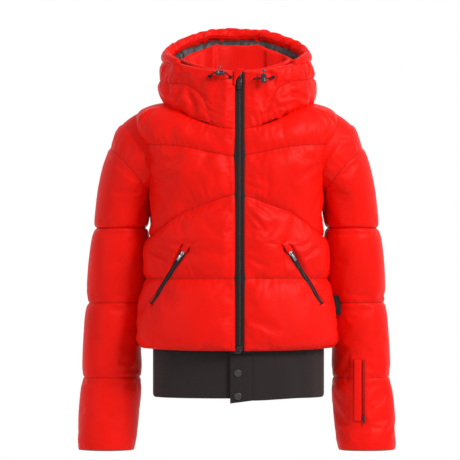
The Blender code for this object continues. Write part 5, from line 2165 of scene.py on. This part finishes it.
@dataclass
class BodyLining:
    """The thin lining behind the body's padding, and the pocket bags in front of it."""

    depth: float = 0.0156
    opening: float = 10.0
    start: float = 0.02
    span: float = 0.965
    bag_depth: float = 0.0138
    bag_turn: float = 0.75
    bag_share: float = 0.26
    bag_middle: tuple = (33.0, 0.335)

    def _sheet(self, name: str, node: str, angle: Array, share: Array, depth: Array) -> None:
        """Makes one sheet inside the body.

        Args:
            name: the piece's name.
            node: the node that it stands for.
            angle: angle of each column.
            share: share of the height of each row.
            depth: metres inside the outer surface.
        """
        cloth = Cloth(TORSO.point(angle + 0 * share, share + 0 * angle), run=FAR)
        centre = np.array([0.0, 0.0, -0.25])
        cloth.push(-depth, centre)
        obj = cloth.make(name, LINING, centre)
        thicken(obj, 0.0006)
        settle(obj, "torso", "lining_fabric", node)

    def build(self) -> None:
        """Makes the lining and both pocket bags."""
        angle = np.radians(np.linspace(self.opening, 360 - self.opening, 150))[None, :]
        share = self.start + self.span * np.linspace(0, 1, 90)[:, None]
        ease = Ripple(131, 0.35, lean=0.6).at(angle, share) * 0.0012
        deeper = 0.010 * rise(share, 0.45, 0.60) * (1 - rise(share, 0.85, 0.98))
        self._sheet("body_taffeta_lining", "body_lining", angle, share, self.depth + ease + deeper + 0 * angle)
        for side in Side:
            turn = side.value * math.radians(self.bag_middle[0]) + np.linspace(-0.5, 0.5, 30)[None, :] * self.bag_turn
            up = self.bag_middle[1] + np.linspace(-0.5, 0.5, 24)[:, None] * self.bag_share
            self._sheet(f"pocket_cloth_{side.word}", f"pocket_bag_{side.word}", turn, up,
                        self.bag_depth + 0 * turn + 0 * up)


# ---- studio -------------------------------------------------------------------------------
@dataclass
class Studio:
    """Floor, soft light and camera."""

    eye: tuple = (-0.0127, -7.0, -0.246)
    seen: float = 0.897  # width of the view at the jacket's middle
    floor_z: float = -0.95
    floor_half: float = 1.2
    near: tuple = (0.43, 0.43, 0.44)  # the air behind the camera
    far: tuple = (1.0, 1.0, 1.0)  # the air behind the jacket

    def _floor(self) -> None:
        """Makes the pale floor."""
        bm = bmesh.new()
        bmesh.ops.create_grid(bm, x_segments=8, y_segments=8, size=self.floor_half)
        bmesh.ops.translate(bm, verts=bm.verts, vec=(0, 0, self.floor_z))
        to_object("studio_floor", bm, StudioPaint())

    def _camera(self) -> None:
        """Makes the camera."""
        data = bpy.data.cameras.new("camera")
        data.lens = data.sensor_width * -self.eye[1] / self.seen
        camera = bpy.data.objects.new("camera", data)
        camera.location = self.eye
        camera.rotation_euler = (math.pi / 2, 0, 0)
        bpy.context.scene.collection.objects.link(camera)
        bpy.context.scene.camera = camera

    def _lamp(self, name: str, place: tuple, size: float, power: float, aim: tuple = (0, 0, -0.25)) -> None:
        """Makes one soft lamp.

        Args:
            name: its name.
            place: where it hangs.
            size: its side.
            power: its power.
            aim: what it looks at.
        """
        data = bpy.data.lights.new(name, "AREA")
        data.size, data.energy = size, power
        lamp = bpy.data.objects.new(name, data)
        lamp.location = place
        lamp.rotation_euler = (Vector(aim) - Vector(place)).to_track_quat("-Z", "Y").to_euler()
        bpy.context.scene.collection.objects.link(lamp)

    def _sky(self) -> None:
        """Makes the pale surround."""
        world = bpy.data.worlds.new("studio_air")
        nodes = NodeMaker(world)
        way = nodes.add("ShaderNodeTexCoord", {}, {}, "Generated")
        lit = nodes.mix(nodes.part(way, 1).between(-0.35, 0.92), rgba(self.near), rgba(self.far))
        air = nodes.add("ShaderNodeBackground", {}, {"Color": lit, "Strength": 1.0})
        nodes.add("ShaderNodeOutputWorld", {}, {"Surface": air}, None)
        bpy.context.scene.world = world

    def build(self) -> None:
        """Makes floor, lamps, surround and camera."""
        self._floor()
        self._camera()
        self._sky()
        self._lamp("key", (1.9, -1.9, 1.4), 1.0, 76.0)
        self._lamp("fill", (-2.2, -1.8, 0.3), 1.6, 14.0)
        bpy.context.scene.view_settings.view_transform = "Standard"


def main() -> None:
    """Builds the whole jacket, piece by piece."""
    logging.basicConfig(level=logging.INFO, format="%(name)s: %(message)s")
    Studio().build()
    TorsoQuilt().build()
    for side in Side:
        Sleeve(side).build()
    Hood().build()
    InnerCollar().build()
    SEWING.run()
    PIECES.finish()
    Waistband().build()
    Snaps().build()
    MainZip().build()
    for side in Side:
        HandPocket(side).build()
    PassPocket().build()
    NeckFittings().build()
    BodyLining().build()


if __name__ == "__main__":
    main()
